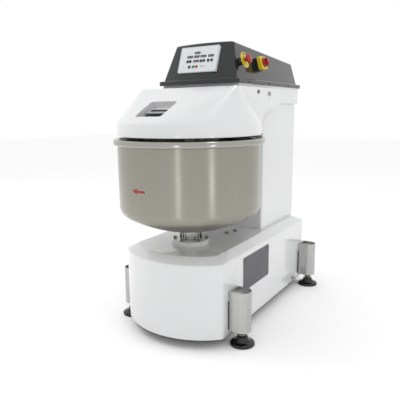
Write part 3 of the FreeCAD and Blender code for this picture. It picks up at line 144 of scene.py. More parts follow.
def make_floor():
    mesh = bpy.data.meshes.new("floor")
    corners = [(x * FLOOR_HALF, y * FLOOR_HALF, 0) for x, y in ((-1, -1), (1, -1), (1, 1), (-1, 1))]
    mesh.from_pydata(corners, [], [(0, 1, 2, 3)])
    floor = bpy.data.objects.new("floor", mesh)
    bpy.context.collection.objects.link(floor)
    mesh.materials.append(floor_material())


# ---------------------------------------------------------------- shader helpers

class Shader:
    """A material with its node tree, written in short calls."""

    def __init__(self, name, colour, roughness, metallic=0.0, **inputs):
        self.material = bpy.data.materials.new(name)
        self.material.use_nodes = True
        self.tree = self.material.node_tree
        self.surface = self.tree.nodes["Principled BSDF"]
        self.surface.inputs["Base Color"].default_value = (*colour, 1)
        self.surface.inputs["Roughness"].default_value = roughness
        self.surface.inputs["Metallic"].default_value = metallic
        for label, value in inputs.items():
            self.surface.inputs[label.replace("_", " ").title().replace("Ior", "IOR")].default_value = value
        self.material.diffuse_color = (*colour, 1)

    def node(self, kind, **settings):
        made = self.tree.nodes.new(kind)
        for name, value in settings.items():
            setattr(made, name, value)
        return made

    def link(self, source, target):
        self.tree.links.new(source, target)

    def place(self):
        return self.node("ShaderNodeTexCoord").outputs["Object"]

    def math(self, operation, *values):
        made = self.node("ShaderNodeMath", operation=operation)
        for socket, value in zip(made.inputs, values):
            if isinstance(value, (int, float)):
                socket.default_value = value
            else:
                self.link(value, socket)
        return made.outputs[0]

    def mixed(self, first, second, share):
        """Two factors added, the first counting for its share and the second for the rest."""
        return self.math("ADD", self.math("MULTIPLY", first, share), self.math("MULTIPLY", second, 1 - share))

    def stretched(self, scales):
        """Coordinates scaled along each axis, for grain that runs one way."""
        mapping = self.node("ShaderNodeMapping")
        mapping.inputs["Scale"].default_value = scales
        self.link(self.place(), mapping.inputs["Vector"])
        return mapping.outputs["Vector"]

    def noise(self, scale, detail=3, vector=None, roughness=0.5):
        made = self.node("ShaderNodeTexNoise")
        made.inputs["Scale"].default_value = scale
        made.inputs["Detail"].default_value = detail
        made.inputs["Roughness"].default_value = roughness
        self.link(vector or self.place(), made.inputs["Vector"])
        return made.outputs["Fac"]

    def spread(self, factor, low, high, start=0.3, stop=0.7):
        """A factor stretched between two values."""
        made = self.node("ShaderNodeMapRange")
        for name, value in (("From Min", start), ("From Max", stop), ("To Min", low), ("To Max", high)):
            made.inputs[name].default_value = value
        self.link(factor, made.inputs["Value"])
        return made.outputs["Result"]

    def blend(self, factor, first, second):
        """A colour that goes from one to another with a factor."""
        made = self.node("ShaderNodeMix", data_type="RGBA")
        for socket, colour in ((made.inputs[6], first), (made.inputs[7], second)):
            socket.default_value = (*colour, 1)
        self.link(factor, made.inputs["Factor"])
        return made.outputs[2]

    def colour(self, factor, first, second):
        self.link(self.blend(factor, first, second), self.surface.inputs["Base Color"])

    def rough(self, factor, low, high, start=0.3, stop=0.7):
        self.link(self.spread(factor, low, high, start, stop), self.surface.inputs["Roughness"])

    def bump(self, factor, strength, distance):
        """A small relief."""
        made = self.node("ShaderNodeBump")
        made.inputs["Strength"].default_value = strength
        made.inputs["Distance"].default_value = distance
        self.link(factor, made.inputs["Height"])
        self.link(made.outputs["Normal"], self.surface.inputs["Normal"])


def shade(colour, share):
    return tuple(channel * share for channel in colour)


def painted(name, colour, roughness, peel, coat, specular=0.5):
    """Gloss paint on sheet steel, with a faint orange peel."""
    look = Shader(name, colour, roughness, coat_weight=coat, coat_roughness=0.025,
                  specular_ior_level=specular)
    look.colour(look.noise(1.5, 1), shade(colour, 0.985), colour)
    look.rough(look.noise(4, 1), roughness * 0.8, roughness * 1.25, 0, 1)
    look.bump(look.noise(90, 0), peel, 0.001)
    return look.material


def moulded(name, colour, roughness, grain=700, depth=0.08):
    """Moulded plastic with a fine grain."""
    look = Shader(name, colour, roughness, specular_ior_level=0.5)
    look.colour(look.noise(35, 4), shade(colour, 0.88), colour)
    look.rough(look.noise(60, 4), roughness * 0.8, roughness * 1.3)
    look.bump(look.noise(grain, 2), depth, 0.0003)
    return look.material


def brushed(name, colour, roughness, scales):
    """Brushed steel: long fine scratches along the axis with the smallest scale."""
    look = Shader(name, colour, roughness, 1.0)
    fine = look.noise(1, 4, look.stretched(scales), 0.7)
    broad = look.noise(7, 3)
    look.colour(fine, shade(colour, 0.83), shade(colour, 1.17))
    look.rough(look.mixed(fine, broad, 0.6), roughness * 0.7, roughness * 1.35)
    look.bump(fine, 0.10, 0.0002)
    return look.material


LINES_ROUND = 1.6
LINES_UPRIGHT = 900


def spun_steel(name, colour, roughness, centre):
    """Steel brushed round an upright axis, with hairlines and uneven gloss."""
    look = Shader(name, colour, roughness, 1.0, anisotropic=0.8, anisotropic_rotation=0.25)
    offset = look.node("ShaderNodeVectorMath", operation="SUBTRACT")
    look.link(look.place(), offset.inputs[0])
    offset.inputs[1].default_value = centre
    parts = look.node("ShaderNodeSeparateXYZ")
    look.link(offset.outputs[0], parts.inputs[0])
    angle = look.math("ARCTAN2", parts.outputs["X"], parts.outputs["Y"])
    round_axis = look.node("ShaderNodeCombineXYZ")
    look.link(look.math("MULTIPLY", angle, LINES_ROUND), round_axis.inputs["X"])
    look.link(look.math("MULTIPLY", parts.outputs["Z"], LINES_UPRIGHT), round_axis.inputs["Y"])
    lines = look.noise(1, 5, round_axis.outputs[0], 0.75)
    patches = look.noise(5, 3)
    look.colour(lines, shade(colour, 0.84), shade(colour, 1.08))
    look.rough(look.mixed(lines, patches, 0.65), roughness * 0.75, roughness * 1.3)
    look.bump(lines, 0.06, 0.0002)
    tangent = look.node("ShaderNodeTangent", direction_type="RADIAL", axis="Z")
    look.link(tangent.outputs[0], look.surface.inputs["Tangent"])
    return look.material


def floor_material():
    look = Shader("floor_paper", (0.95, 0.95, 0.95), 0.9)
    look.colour(look.noise(3, 3), (0.945, 0.945, 0.945), (0.955, 0.955, 0.955))
    return look.material


def make_materials():
    return {
        "white_paint": painted("white_paint", (0.60, 0.605, 0.61), 0.28, 0.008, 1.0),
        "console_grey": painted("console_grey", (0.0115, 0.0125, 0.0135), 0.3, 0.03, 0.85, 0.1),
        "bowl_steel": spun_steel("bowl_steel", (0.32, 0.307, 0.268), 0.27, BOWL_AXIS),
        "stainless": brushed("stainless", (0.47, 0.47, 0.465), 0.27, (500, 500, 6)),
        "bright_steel": brushed("bright_steel", (0.37, 0.36, 0.335), 0.16, (60, 60, 900)),
        "zinc": brushed("zinc", (0.20, 0.19, 0.16), 0.24, (300, 300, 300)),
        "cast_grey": painted("cast_grey", (0.16, 0.175, 0.19), 0.5, 0.35, 0.1),
        "dark_plate": painted("dark_plate", (0.03, 0.03, 0.031), 0.5, 0.2, 0.1),
        "panel_grey": painted("panel_grey", (0.068, 0.070, 0.075), 0.5, 0.3, 0.15),
        "membrane": moulded("membrane", (0.62, 0.64, 0.66), 0.34, 900, 0.05),
        "black_plastic": moulded("black_plastic", (0.012, 0.012, 0.013), 0.32),
        "yellow_plastic": moulded("yellow_plastic", (0.66, 0.50, 0.014), 0.30),
        "red_plastic": moulded("red_plastic", (0.29, 0.012, 0.009), 0.28),
        "key_black": moulded("key_black", (0.018, 0.018, 0.021), 0.32),
        "key_green": moulded("key_green", (0.010, 0.27, 0.09), 0.32),
        "key_red": moulded("key_red", (0.43, 0.020, 0.014), 0.32),
        "foot_black": moulded("foot_black", (0.006, 0.006, 0.007), 0.12, 300, 0.03),
        "belt_rubber": moulded("belt_rubber", (0.02, 0.02, 0.02), 0.75),
        "handle_grey": moulded("handle_grey", (0.40, 0.41, 0.42), 0.30),
    }


materials = make_materials()


# ---------------------------------------------------------------- mesh helpers

class Form:
    """Points and faces gathered for one mesh: given in millimetres, kept in metres."""

    def __init__(self):
        self.points = []
        self.faces = []

    def add(self, shape, place=Matrix()):
        points, faces = shape
        start = len(self.points)
        self.points += [place @ (Vector(point) * MM) for point in points]
        self.faces += [tuple(start + index for index in face) for face in faces]
        return self


def skinned(loops, cap_low=True, cap_high=True):
    """Quads between closed loops of equal length; a loop of one point closes to a tip."""
    points, faces, starts = [], [], []
    for loop in loops:
        starts.append(len(points))
        points += loop
    for low, high, loop, after in zip(starts, starts[1:], loops, loops[1:]):
        count = max(len(loop), len(after))
        for index in range(count):
            following = (index + 1) % count
            if len(loop) == 1:
                faces.append((low, high + following, high + index))
            elif len(after) == 1:
                faces.append((low + index, low + following, high))
            else:
                faces.append((low + index, low + following, high + following, high + index))
    if cap_low and len(loops[0]) > 1:
        faces.append(tuple(range(len(loops[0])))[::-1])
    if cap_high and len(loops[-1]) > 1:
        faces.append(tuple(starts[-1] + index for index in range(len(loops[-1]))))
    return points, faces


def circle(radius, level, segments):
    turns = (2 * math.pi * step / segments for step in range(segments))
    return [(radius * math.cos(turn), radius * math.sin(turn), level) for turn in turns]


def at_height(outline, level):
    return [(x, y, level) for x, y in outline]


def turned(profile, segments=64):
    """A shape turned about Z from a half section of (radius, height) points."""
    return skinned([circle(radius, height, segments) if radius else [(0, 0, height)]
                    for radius, height in profile])


def turned_ring(profile, segments=64):
    """A ring turned about Z from a closed section."""
    loops = [circle(radius, height, segments) for radius, height in profile]
    return skinned(loops + [loops[0]], False, False)


def arc(centre_x, centre_y, radius, start, stop, steps):
    """Points on an arc, angles in degrees."""
    angles = (math.radians(start + (stop - start) * step / steps) for step in range(steps + 1))
    return [(centre_x + radius * math.cos(angle), centre_y + radius * math.sin(angle)) for angle in angles]


EASED_STEPS = 5


def eased(points):
    """A smooth line through a few points."""
    padded = [points[0], *points, points[-1]]
    line = []
    for before, start, stop, after in zip(padded, padded[1:], padded[2:], padded[3:]):
        for step in range(EASED_STEPS):
            share = step / EASED_STEPS
            line.append(tuple(
                0.5 * (2 * b + (c - a) * share + (2 * a - 5 * b + 4 * c - d) * share ** 2
                       + (3 * b - a - 3 * c + d) * share ** 3)
                for a, b, c, d in zip(before, start, stop, after)))
    return line + [points[-1]]


def rounded(width, height, radius, steps=5):
    """A rounded rectangle about the origin, anticlockwise."""
    x, y = width / 2 - radius, height / 2 - radius
    corners = ((x, y, 0), (-x, y, 90), (-x, -y, 180), (x, -y, 270))
    return [point for cx, cy, start in corners for point in arc(cx, cy, radius, start, start + 90, steps)]


EDGE_STEPS = 3
LEAST_CORNER = 0.05


def slab(width, height, radius, low, high, edge):
    """A rounded rectangular slab whose upper edge is rounded."""
    loops = [at_height(rounded(width, height, radius), low)]
    for step in range(EDGE_STEPS + 1):
        angle = math.pi / 2 * step / EDGE_STEPS
        inset = edge * (1 - math.cos(angle))
        outline = rounded(width - 2 * inset, height - 2 * inset, max(radius - inset, LEAST_CORNER))
        loops.append(at_height(outline, high - edge + edge * math.sin(angle)))
    return skinned(loops)


SCREW_SEGMENTS = 48


def hexagon(radius):
    """A hexagon sampled with as many points as a round loop."""
    outline = []
    for step in range(SCREW_SEGMENTS):
        turn = 2 * math.pi * step / SCREW_SEGMENTS
        reach = math.cos(math.pi / 6) / math.cos((turn % (math.pi / 3)) - math.pi / 6)
        outline.append((radius * reach * math.cos(turn), radius * reach * math.sin(turn)))
    return outline


SOCKET_SHARE = 0.42
SOCKET_RIM = 1.12


def socket_head(radius, height):
    """A domed screw head with a hexagon socket."""
    dome = ((1, 0), (1, 0.35), (0.96, 0.55), (0.8, 0.85), (0.66, 1))
    loops = [circle(radius * across, height * up, SCREW_SEGMENTS) for across, up in dome]
    socket = radius * SOCKET_SHARE
    pit = hexagon(socket)
    loops += [at_height(hexagon(socket * SOCKET_RIM), height), at_height(pit, height * 0.93),
              at_height(pit, height * 0.35)]
    return skinned(loops)


WASHER_HEIGHT = 0.2
WASHER_MARGIN = 0.82


def hex_bolt(radius, height):
    """A washer with a chamfered hexagon head on it."""
    washer = height * WASHER_HEIGHT
    loops = [circle(radius, level, SCREW_SEGMENTS) for level in (0, washer * 0.8)]
    loops.append(circle(radius * 0.96, washer, SCREW_SEGMENTS))
    outline = hexagon(radius * WASHER_MARGIN)
    for scale, level in ((1, washer), (1, height * 0.86), (0.93, height * 0.95), (0.84, height)):
        loops.append([(x * scale, y * scale, level) for x, y in outline])
    return skinned(loops)


WELD_DISTANCE = 1e-5


def solid_boxes(name):
    """The boxes of the separate solids in a node, in the order of its points."""
    form = bmesh.new()
    form.from_mesh(nodes[name].data)
    bmesh.ops.remove_doubles(form, verts=form.verts, dist=WELD_DISTANCE)
    form.verts.ensure_lookup_table()
    seen = [False] * len(form.verts)
    boxes = []
    for first in form.verts:
        if seen[first.index]:
            continue
        seen[first.index] = True
        island = [first]
        for vert in island:
            for edge in vert.link_edges:
                other = edge.other_vert(vert)
                if not seen[other.index]:
                    seen[other.index] = True
                    island.append(other)
        sides = list(zip(*(vert.co for vert in island)))
        boxes.append((Vector(map(min, sides)), Vector(map(max, sides))))
    form.free()
    return boxes


CREASE = 32
FASTENER_CREASE = 25


def new_piece(name, form, body, slot, replaced=(), sharp=CREASE):
    """A finished mesh piece that rides on a body."""
    mesh = bpy.data.meshes.new(name)
    mesh.from_pydata([tuple(point) for point in form.points], [], form.faces)
    work = bmesh.new()
    work.from_mesh(mesh)
    bmesh.ops.recalc_face_normals(work, faces=work.faces)
    work.to_mesh(mesh)
    work.free()
    return dressed(name, mesh, body, slot, replaced, sharp)


def dressed(name, mesh, body, slot, replaced=(), sharp=CREASE):
    """A mesh made into a smooth piece with creases, its body and its material slot."""
    mesh.shade_smooth()
    mesh.set_sharp_from_angle(angle=math.radians(sharp))
    mesh.materials.clear()
    mesh.materials.append(materials[slot])
    piece = bpy.data.objects.new(name, mesh)
    bpy.context.collection.objects.link(piece)
    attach(piece, body)
    if replaced:
        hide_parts(*replaced)
    return piece


def frame_of(origin, across, up):
    """A placement from an origin and two directions; the third is their cross product."""
    out = across.cross(up)
    turn = Matrix((across, up, out)).transposed().to_4x4()
    return Matrix.Translation(origin) @ turn


def facing(direction, origin):
    """A placement at a point whose Z runs along a direction."""
    return Matrix.Translation(origin) @ Vector(direction).to_track_quat("Z", "Y").to_matrix().to_4x4()


# ---------------------------------------------------------------- bowl

BOWL_RADIUS = 313
BOWL_WALL = 2.5
BOWL_BOTTOM = 455
KNUCKLE_RADIUS = 50
DISH_ANGLE = 30
RIM_RADIUS = 330
RIM_WIDTH = 19.5
RIM_LOW = 839.5
RIM_HIGH = 866.5
RIM_SEAM = 838
SEAM_LAP = 0.4
RIM_TUCK = 1.5
WALL_BREAK = 700
BOWL_SEGMENTS = 224
DISH_STEPS = 16
KNUCKLE_STEPS = 10


def make_bowl():
    dish = math.radians(DISH_ANGLE)
    dish_radius = (BOWL_RADIUS - KNUCKLE_RADIUS * (1 - math.sin(dish))) / math.sin(dish)
    dish_z = BOWL_BOTTOM + dish_radius
    knuckle_x = BOWL_RADIUS - KNUCKLE_RADIUS
    knuckle_z = dish_z - (dish_radius - KNUCKLE_RADIUS) * math.cos(dish)
    bead = RIM_WIDTH / 2
    bead_x = RIM_RADIUS - bead
    inner = BOWL_RADIUS - BOWL_WALL
    dish_end = DISH_ANGLE - 90
    profile = [(0, BOWL_BOTTOM)] + arc(0, dish_z, dish_radius, -90, dish_end, DISH_STEPS)[1:]
    profile += arc(knuckle_x, knuckle_z, KNUCKLE_RADIUS, dish_end, 0, KNUCKLE_STEPS)[1:]
    profile += [(BOWL_RADIUS, WALL_BREAK), (BOWL_RADIUS, RIM_SEAM), (inner, RIM_SEAM), (inner, WALL_BREAK)]
    profile += arc(knuckle_x, knuckle_z, KNUCKLE_RADIUS - BOWL_WALL, 0, dish_end, KNUCKLE_STEPS)
    profile += arc(0, dish_z, dish_radius - BOWL_WALL, dish_end, -90, DISH_STEPS)[1:-1]
    profile.append((0, BOWL_BOTTOM + BOWL_WALL))
    form = Form().add(turned(profile, BOWL_SEGMENTS), Matrix.Translation(BOWL_AXIS))
    new_piece("bowl_spun", form, "bowl_assembly", "bowl_steel", ["bowl"])
    seam = RIM_SEAM - SEAM_LAP
    section = [(inner, seam), (BOWL_RADIUS, seam), (BOWL_RADIUS, RIM_LOW + RIM_TUCK)]
    section += arc(bead_x, RIM_LOW + bead, bead, -130, 0, 9)
    section += arc(bead_x, RIM_HIGH - bead, bead, 0, 175, 12)
    rim = Form().add(turned_ring(section, BOWL_SEGMENTS), Matrix.Translation(BOWL_AXIS))
    new_piece("bowl_rim", rim, "bowl_assembly", "bright_steel")


ARROW_LEFT = -75
ARROW_RIGHT = -5
ARROW_LEVEL = 668
ARROW_HEAD = 27
ARROW_HALF_HEAD = 12
ARROW_HALF_SHAFT = 4.6
ARROW_BARB = 3
ARROW_LIFT = (0.02, 0.25)
ARROW_STEPS = 8


def make_turning_arrow():
    """A thin red arrow on the bowl's wall that shows which way it turns."""
    shaft = ARROW_LEFT + ARROW_HEAD + ARROW_BARB
    columns = [(ARROW_LEFT, 0.4), (ARROW_LEFT + ARROW_HEAD / 2, ARROW_HALF_HEAD / 2),
               (ARROW_LEFT + ARROW_HEAD, ARROW_HALF_HEAD), (shaft, ARROW_HALF_SHAFT)]
    columns += [(shaft + (ARROW_RIGHT - shaft) * step / ARROW_STEPS, ARROW_HALF_SHAFT)
                for step in range(1, ARROW_STEPS + 1)]
    near, far = (BOWL_RADIUS + lift for lift in ARROW_LIFT)
    loops = []
    for along, half in columns:
        turn = along / BOWL_RADIUS
        loops.append([(radius * math.sin(turn), -radius * math.cos(turn), ARROW_LEVEL + height)
                      for radius, height in ((near, -half), (far, -half), (far, half), (near, half))])
    form = Form().add(skinned(loops), Matrix.Translation(BOWL_AXIS))
    new_piece("turning_arrow", form, "bowl_assembly", "red_plastic")


# ---------------------------------------------------------------- lid

LID_RADIUS = 312
LID_HALF = 247
LID_LOW = 879
LID_FOLD = 932
LID_TOP = 1078
LID_TOP_FRONT = -258
LID_REAR = 179
LID_CORNER = 14
LID_LIP = 12
LID_SHEET = 2.5
LID_SWEEP = 150
LID_SKIRT_Y = -9
LID_TAB = (92, 990)
FOLD_ROUND = 9
TOP_ROUND = 5
BAND_SHARE = 0.45
SIDE_STEPS = 16
CONE_STEPS = 56
NOSE_STEPS = 8
NOSE_HALF = 10
SLOPE_STEPS = 10
PAN = {"x": -27, "y": -434, "width": 134, "length": 134, "corner": 14}
CUT_REACH = 30
SWEEP_STEPS = 20
EDGE_BREAK = 0.0007
EDGE_BREAK_ANGLE = math.radians(50)
HINGE_PLATE = {"front": 22, "rear": 26, "below": 24, "thickness": 8, "corner": 6, "edge": 1.2}


def lid_columns():
    """Matching plan points of the right half, rear to nose: band, crest and inner lip."""
    axis_y = BOWL_AXIS.y / MM
    side_y = axis_y + math.sqrt(LID_RADIUS ** 2 - LID_HALF ** 2)
    corner_x, corner_y = LID_HALF - LID_CORNER, LID_TOP_FRONT + LID_CORNER
    lip = LID_CORNER - LID_LIP
    columns = []
    for step in range(SIDE_STEPS):
        share = step / SIDE_STEPS
        crest_y = LID_REAR + (corner_y - LID_REAR) * share
        columns.append(((LID_HALF, LID_REAR + (side_y - LID_REAR) * share),
                        (LID_HALF, crest_y), (LID_HALF - LID_LIP, crest_y)))
    widest = math.degrees(math.atan2(LID_HALF, axis_y - side_y))
    narrowest = math.degrees(math.asin(NOSE_HALF / LID_RADIUS))
    for step in range(CONE_STEPS):
        share = step / (CONE_STEPS - 1)
        turn = math.radians(widest + (narrowest - widest) * share)
        swing = math.radians(90 * share)
        reach = Vector((math.cos(swing), -math.sin(swing)))
        middle = Vector((corner_x, corner_y))
        columns.append(((LID_RADIUS * math.sin(turn), axis_y - LID_RADIUS * math.cos(turn)),
                        tuple(middle + reach * LID_CORNER), tuple(middle + reach * lip)))
    nose_y = columns[-1][0][1]
    for step in range(1, NOSE_STEPS + 1):
        share = 1 - step / NOSE_STEPS
        columns.append(((NOSE_HALF * share, nose_y), (corner_x * share, LID_TOP_FRONT),
                        (corner_x * share, LID_TOP_FRONT + LID_LIP)))
    return columns


def bend(start, corner, stop, steps=5):
    """A quadratic curve that rounds a corner."""
    shares = (step / steps for step in range(steps + 1))
    return [start * (1 - s) ** 2 + corner * 2 * s * (1 - s) + stop * s ** 2 for s in shares]


def lid_wall(band, crest, lip):
    """The lid's section at one column, from its lower edge to the inner lip."""
    low, fold = Vector((*band, LID_LOW)), Vector((*band, LID_FOLD))
    top, inside = Vector((*crest, LID_TOP)), Vector((*lip, LID_TOP))
    slope = (top - fold).normalized()
    inward = (inside - top).normalized()
    after_fold, before_top = fold + slope * FOLD_ROUND, top - slope * TOP_ROUND
    line = [low, low.lerp(fold, BAND_SHARE)]
    line += bend(fold - Vector((0, 0, FOLD_ROUND)), fold, after_fold)
    line += [after_fold.lerp(before_top, step / SLOPE_STEPS) for step in range(1, SLOPE_STEPS)]
    line += bend(before_top, top, top + inward * TOP_ROUND)
    return line + [inside]


def lid_surface():
    """The lid's outer skin, one wall section after another from side to side."""
    right = lid_columns()
    left = [tuple((-x, y) for x, y in column) for column in right[-2::-1]]
    columns = [lid_wall(*column) for column in right + left]
    height = len(columns[0])
    points = [point for column in columns for point in column]
    faces = []
    for column in range(len(columns) - 1):
        for row in range(height - 1):
            corner = column * height + row
            faces.append((corner, corner + 1, corner + height + 1, corner + height))
    return points, faces


def lid_cutters():
    """What is taken from the lid: the hand recess and the rear below the hinge tabs."""
    rise = (LID_TOP - LID_FOLD) / (LID_TOP_FRONT + LID_RADIUS - BOWL_AXIS.y / MM)
    level = LID_FOLD + (PAN["y"] - BOWL_AXIS.y / MM + LID_RADIUS) * rise
    slope = Matrix.Rotation(math.atan(rise), 4, "X")
    place = Matrix.Translation(Vector((PAN["x"], PAN["y"], level)) * MM) @ slope
    outline = rounded(PAN["width"], PAN["length"], PAN["corner"], 8)
    form = Form().add(skinned([at_height(outline, z) for z in (-CUT_REACH, CUT_REACH)]), place)
    tab_y, tab_z = LID_TAB
    sweep_z = tab_z - LID_SWEEP
    stop = math.degrees(math.acos((LID_SKIRT_Y - tab_y) / LID_SWEEP))
    side = [(LID_SKIRT_Y, LID_LOW - 20), (LID_REAR + 60, LID_LOW - 20), (LID_REAR + 60, tab_z)]
    side += arc(tab_y, sweep_z, LID_SWEEP, 90, stop, SWEEP_STEPS)
    return form.add(skinned([[(x, y, z) for y, z in side] for x in (-400, 400)]))


def applied(thing):
    """The mesh of an object after its modifiers."""
    graph = bpy.context.evaluated_depsgraph_get()
    return bpy.data.meshes.new_from_object(thing.evaluated_get(graph))


def scratch(name, form, closed=False):
    """A working object that is removed again; a closed one gets its faces turned outwards."""
    mesh = bpy.data.meshes.new(name)
    mesh.from_pydata([tuple(point) for point in form.points], [], form.faces)
    work = bmesh.new()
    work.from_mesh(mesh)
    bmesh.ops.remove_doubles(work, verts=work.verts, dist=1e-6)
    if closed:
        bmesh.ops.recalc_face_normals(work, faces=work.faces)
    work.to_mesh(mesh)
    work.free()
    thing = bpy.data.objects.new(name, mesh)
    bpy.context.collection.objects.link(thing)
    return thing


def make_lid():
    sheet = scratch("lid_sheet", Form().add(lid_surface()))
    cutters = scratch("lid_cutters", lid_cutters(), closed=True)
    thick = sheet.modifiers.new("thickness", "SOLIDIFY")
    thick.thickness = LID_SHEET * MM
    thick.offset = -1
    hole = sheet.modifiers.new("openings", "BOOLEAN")
    hole.object = cutters
    hole.operation = "DIFFERENCE"
    hole.solver = "EXACT"
    mesh = applied(sheet)
    for thing in (sheet, cutters):
        bpy.data.objects.remove(thing)
    skin = dressed("lid_skin", mesh, "lid", "white_paint", ["lid_shell"], 30)
    edges = skin.modifiers.new("edges", "BEVEL")
    edges.width = EDGE_BREAK
    edges.segments = 2
    edges.limit_method = "ANGLE"
    edges.angle_limit = EDGE_BREAK_ANGLE
    make_hinge_plates()


def middle_of(name):
    """The middle of a part's box, in millimetres."""
    low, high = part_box(name)
    return (low + high) / 2 / MM


def make_hinge_plates():
    """Stiffening plates inside the lid's cheeks, round the hinge pins and the stay bolts."""
    plates = Form()
    pin, stay = middle_of("lid_hinge_pins"), middle_of("lid_stay_bolts")
    front, rear = stay.y - HINGE_PLATE["front"], pin.y + HINGE_PLATE["rear"]
    base, top = pin.z - HINGE_PLATE["below"], LID_TOP - LID_SHEET
    shape = slab(rear - front, top - base, HINGE_PLATE["corner"], 0, HINGE_PLATE["thickness"],
                 HINGE_PLATE["edge"])
    for side in (1, -1):
        where = Vector((side * (LID_HALF - LID_SHEET), (front + rear) / 2, (base + top) / 2)) * MM
        plates.add(shape, frame_of(where, Vector((0, -side, 0)), Vector((0, 0, 1))))
    new_piece("lid_hinge_plates", plates, "lid", "white_paint")


# ---------------------------------------------------------------- console controls

key_axis = -Vector(joints["key_1_press"]["axis"])
panel_low, panel_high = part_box("control_panel")
PANEL_THICKNESS = 18
panel_face = frame_of((panel_low + panel_high) / 2 + key_axis * PANEL_THICKNESS / 2 * MM,
                      Vector((1, 0, 0)), key_axis.cross(Vector((1, 0, 0))))


def on_panel(u, v, lift=0):
    return panel_face @ Matrix.Translation(Vector((u, v, lift)) * MM)


DISPLAYS = [(-9, 30.5), (-45, 13), (-10, 13), (24, 13), (63, 13), (-10, -7.5)]
DISPLAY = {"width": 29, "height": 11, "corner": 1.5, "lift": 0.9, "edge": 0.4}
DIGIT_SHIFTS = (-7, 0, 7)
SEGMENT_WIDTH = 0.6
SEGMENT_LENGTH = 2.1
DIGIT_HALF_WIDTH = 1.5
DIGIT_HALF_HEIGHT = 2.5
# the seven bars of a digit, as (across, up, upright)
SEGMENTS = ((0, 1, 0), (0, 0, 0), (0, -1, 0), (-1, 0.5, 1), (1, 0.5, 1), (-1, -0.5, 1), (1, -0.5, 1))
LAMP_COLUMNS = (19, 28, 37)
LAMP_ROW = -33.5
LAMP = {"width": 7, "height": 6.5, "corner": 1.2, "lift": 0.5, "edge": 0.25}
BORDER = {"margin": 3, "corner": 5.5, "line": 1.1, "lift": 0.35}
BAR_CORNER = 0.3
BAR_LIFT = 0.15
BAR_EDGE = 0.05
DIGIT_SEAT = 0.85


def tile(form):
    """A slab from a table of its sizes."""
    return slab(form["width"], form["height"], form["corner"], 0, form["lift"], form["edge"])


def make_panel():
    width, height = (panel_high.x - panel_low.x) / MM, (panel_high.z - panel_low.z) / MM
    tall = (height - PANEL_THICKNESS * abs(key_axis.z)) / abs(key_axis.y)
    border, lenses, digits, lamps = Form(), Form(), Form(), Form()
    border.add(frame_ring(width - BORDER["margin"], tall - BORDER["margin"]), on_panel(0, 0))
    for u, v in DISPLAYS:
        lenses.add(tile(DISPLAY), on_panel(u, v))
        for shift in DIGIT_SHIFTS:
            for dx, dy, upright in SEGMENTS:
                size = (SEGMENT_WIDTH, SEGMENT_LENGTH) if upright else (SEGMENT_LENGTH, SEGMENT_WIDTH)
                spot = on_panel(u + shift + dx * DIGIT_HALF_WIDTH, v + dy * DIGIT_HALF_HEIGHT, DIGIT_SEAT)
                digits.add(slab(*size, BAR_CORNER, 0, BAR_LIFT, BAR_EDGE), spot)
    for u in LAMP_COLUMNS:
        lamps.add(tile(LAMP), on_panel(u, LAMP_ROW))
    new_piece("panel_border", border, "frame", "handle_grey")
    new_piece("display_windows", lenses, "frame", "key_black")
    new_piece("display_digits", digits, "frame", "membrane")
    new_piece("panel_lamps", lamps, "frame", "handle_grey")


def frame_ring(width, height):
    """A thin rounded frame that stands a little proud."""
    line, lift, corner = BORDER["line"], BORDER["lift"], BORDER["corner"]
    outer = rounded(width, height, corner, 6)
    inner = rounded(width - 2 * line, height - 2 * line, corner - line, 6)
    loops = [at_height(outline, z) for outline, z in ((outer, 0), (outer, lift), (inner, lift), (inner, 0))]
    return skinned(loops + [loops[0]], False, False)


KEY_RADIUS = 6.2
KEY_ROOT = -6
KEY_SHOULDER = 1.1
KEY_DISH = [(4.3, 2.05), (2.4, 1.75), (0, 1.65)]
KEY_RING = [(7.0, 0), (7.0, 0.3), (7.8, 0.3), (7.8, 0)]


def make_keys():
    """Domed keys with a shallow finger dish and a printed ring."""
    profile = [(0, KEY_ROOT), (KEY_RADIUS, KEY_ROOT), (KEY_RADIUS, KEY_SHOULDER)]
    profile += arc(5.3, 1.3, 0.9, 0, 90, 5) + KEY_DISH
    printed = Form()
    for name in [f"key_{number}" for number in range(1, 8)] + ["start_key", "stop_key"]:
        low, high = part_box(name)
        local = panel_face.inverted() @ ((low + high) / 2)
        spot = panel_face @ Matrix.Translation((local.x, local.y, 0))
        cap = Form().add(turned(profile, 40), spot)
        new_piece(f"{name}_cap", cap, body_of[name], slot_of[name], [name])
        printed.add(turned_ring(KEY_RING, 48), spot)
    new_piece("key_rings", printed, "frame", "handle_grey")


def on_side(y):
    """A placement on the console's sloping right face, Z outwards."""
    out = Vector(joints["main_switch_turn"]["axis"])
    origin = Vector(joints["main_switch_turn"]["pos_m"])
    origin.y = y
    return frame_of(origin, Vector((out.z, 0, -out.x)), Vector((0, 1, 0)))


STOP_STEM = [(0, 10), (8.6, 10), (8.6, 41.5), (18.4, 42)]
STOP_RADIUS = 20.5
STOP_DISC_TOP = 28.5
STOP_ARROWS = (20, 140, 260)
STOP_ARROW_SPAN = 82
STOP_ARROW = {"radius": 27.5, "width": 3.2, "lift": 0.35}
SWITCH_PLATE_TOP = 36
SWITCH_RING = [(22.5, 0), (22.5, 0.3), (23.3, 0.3), (23.3, 0)]
POINTER_PLACE = Vector((-8, 0, 58))
ARROW_TIP = 16
ARROW_BENDS = 12
TIP_HALF = 0.15


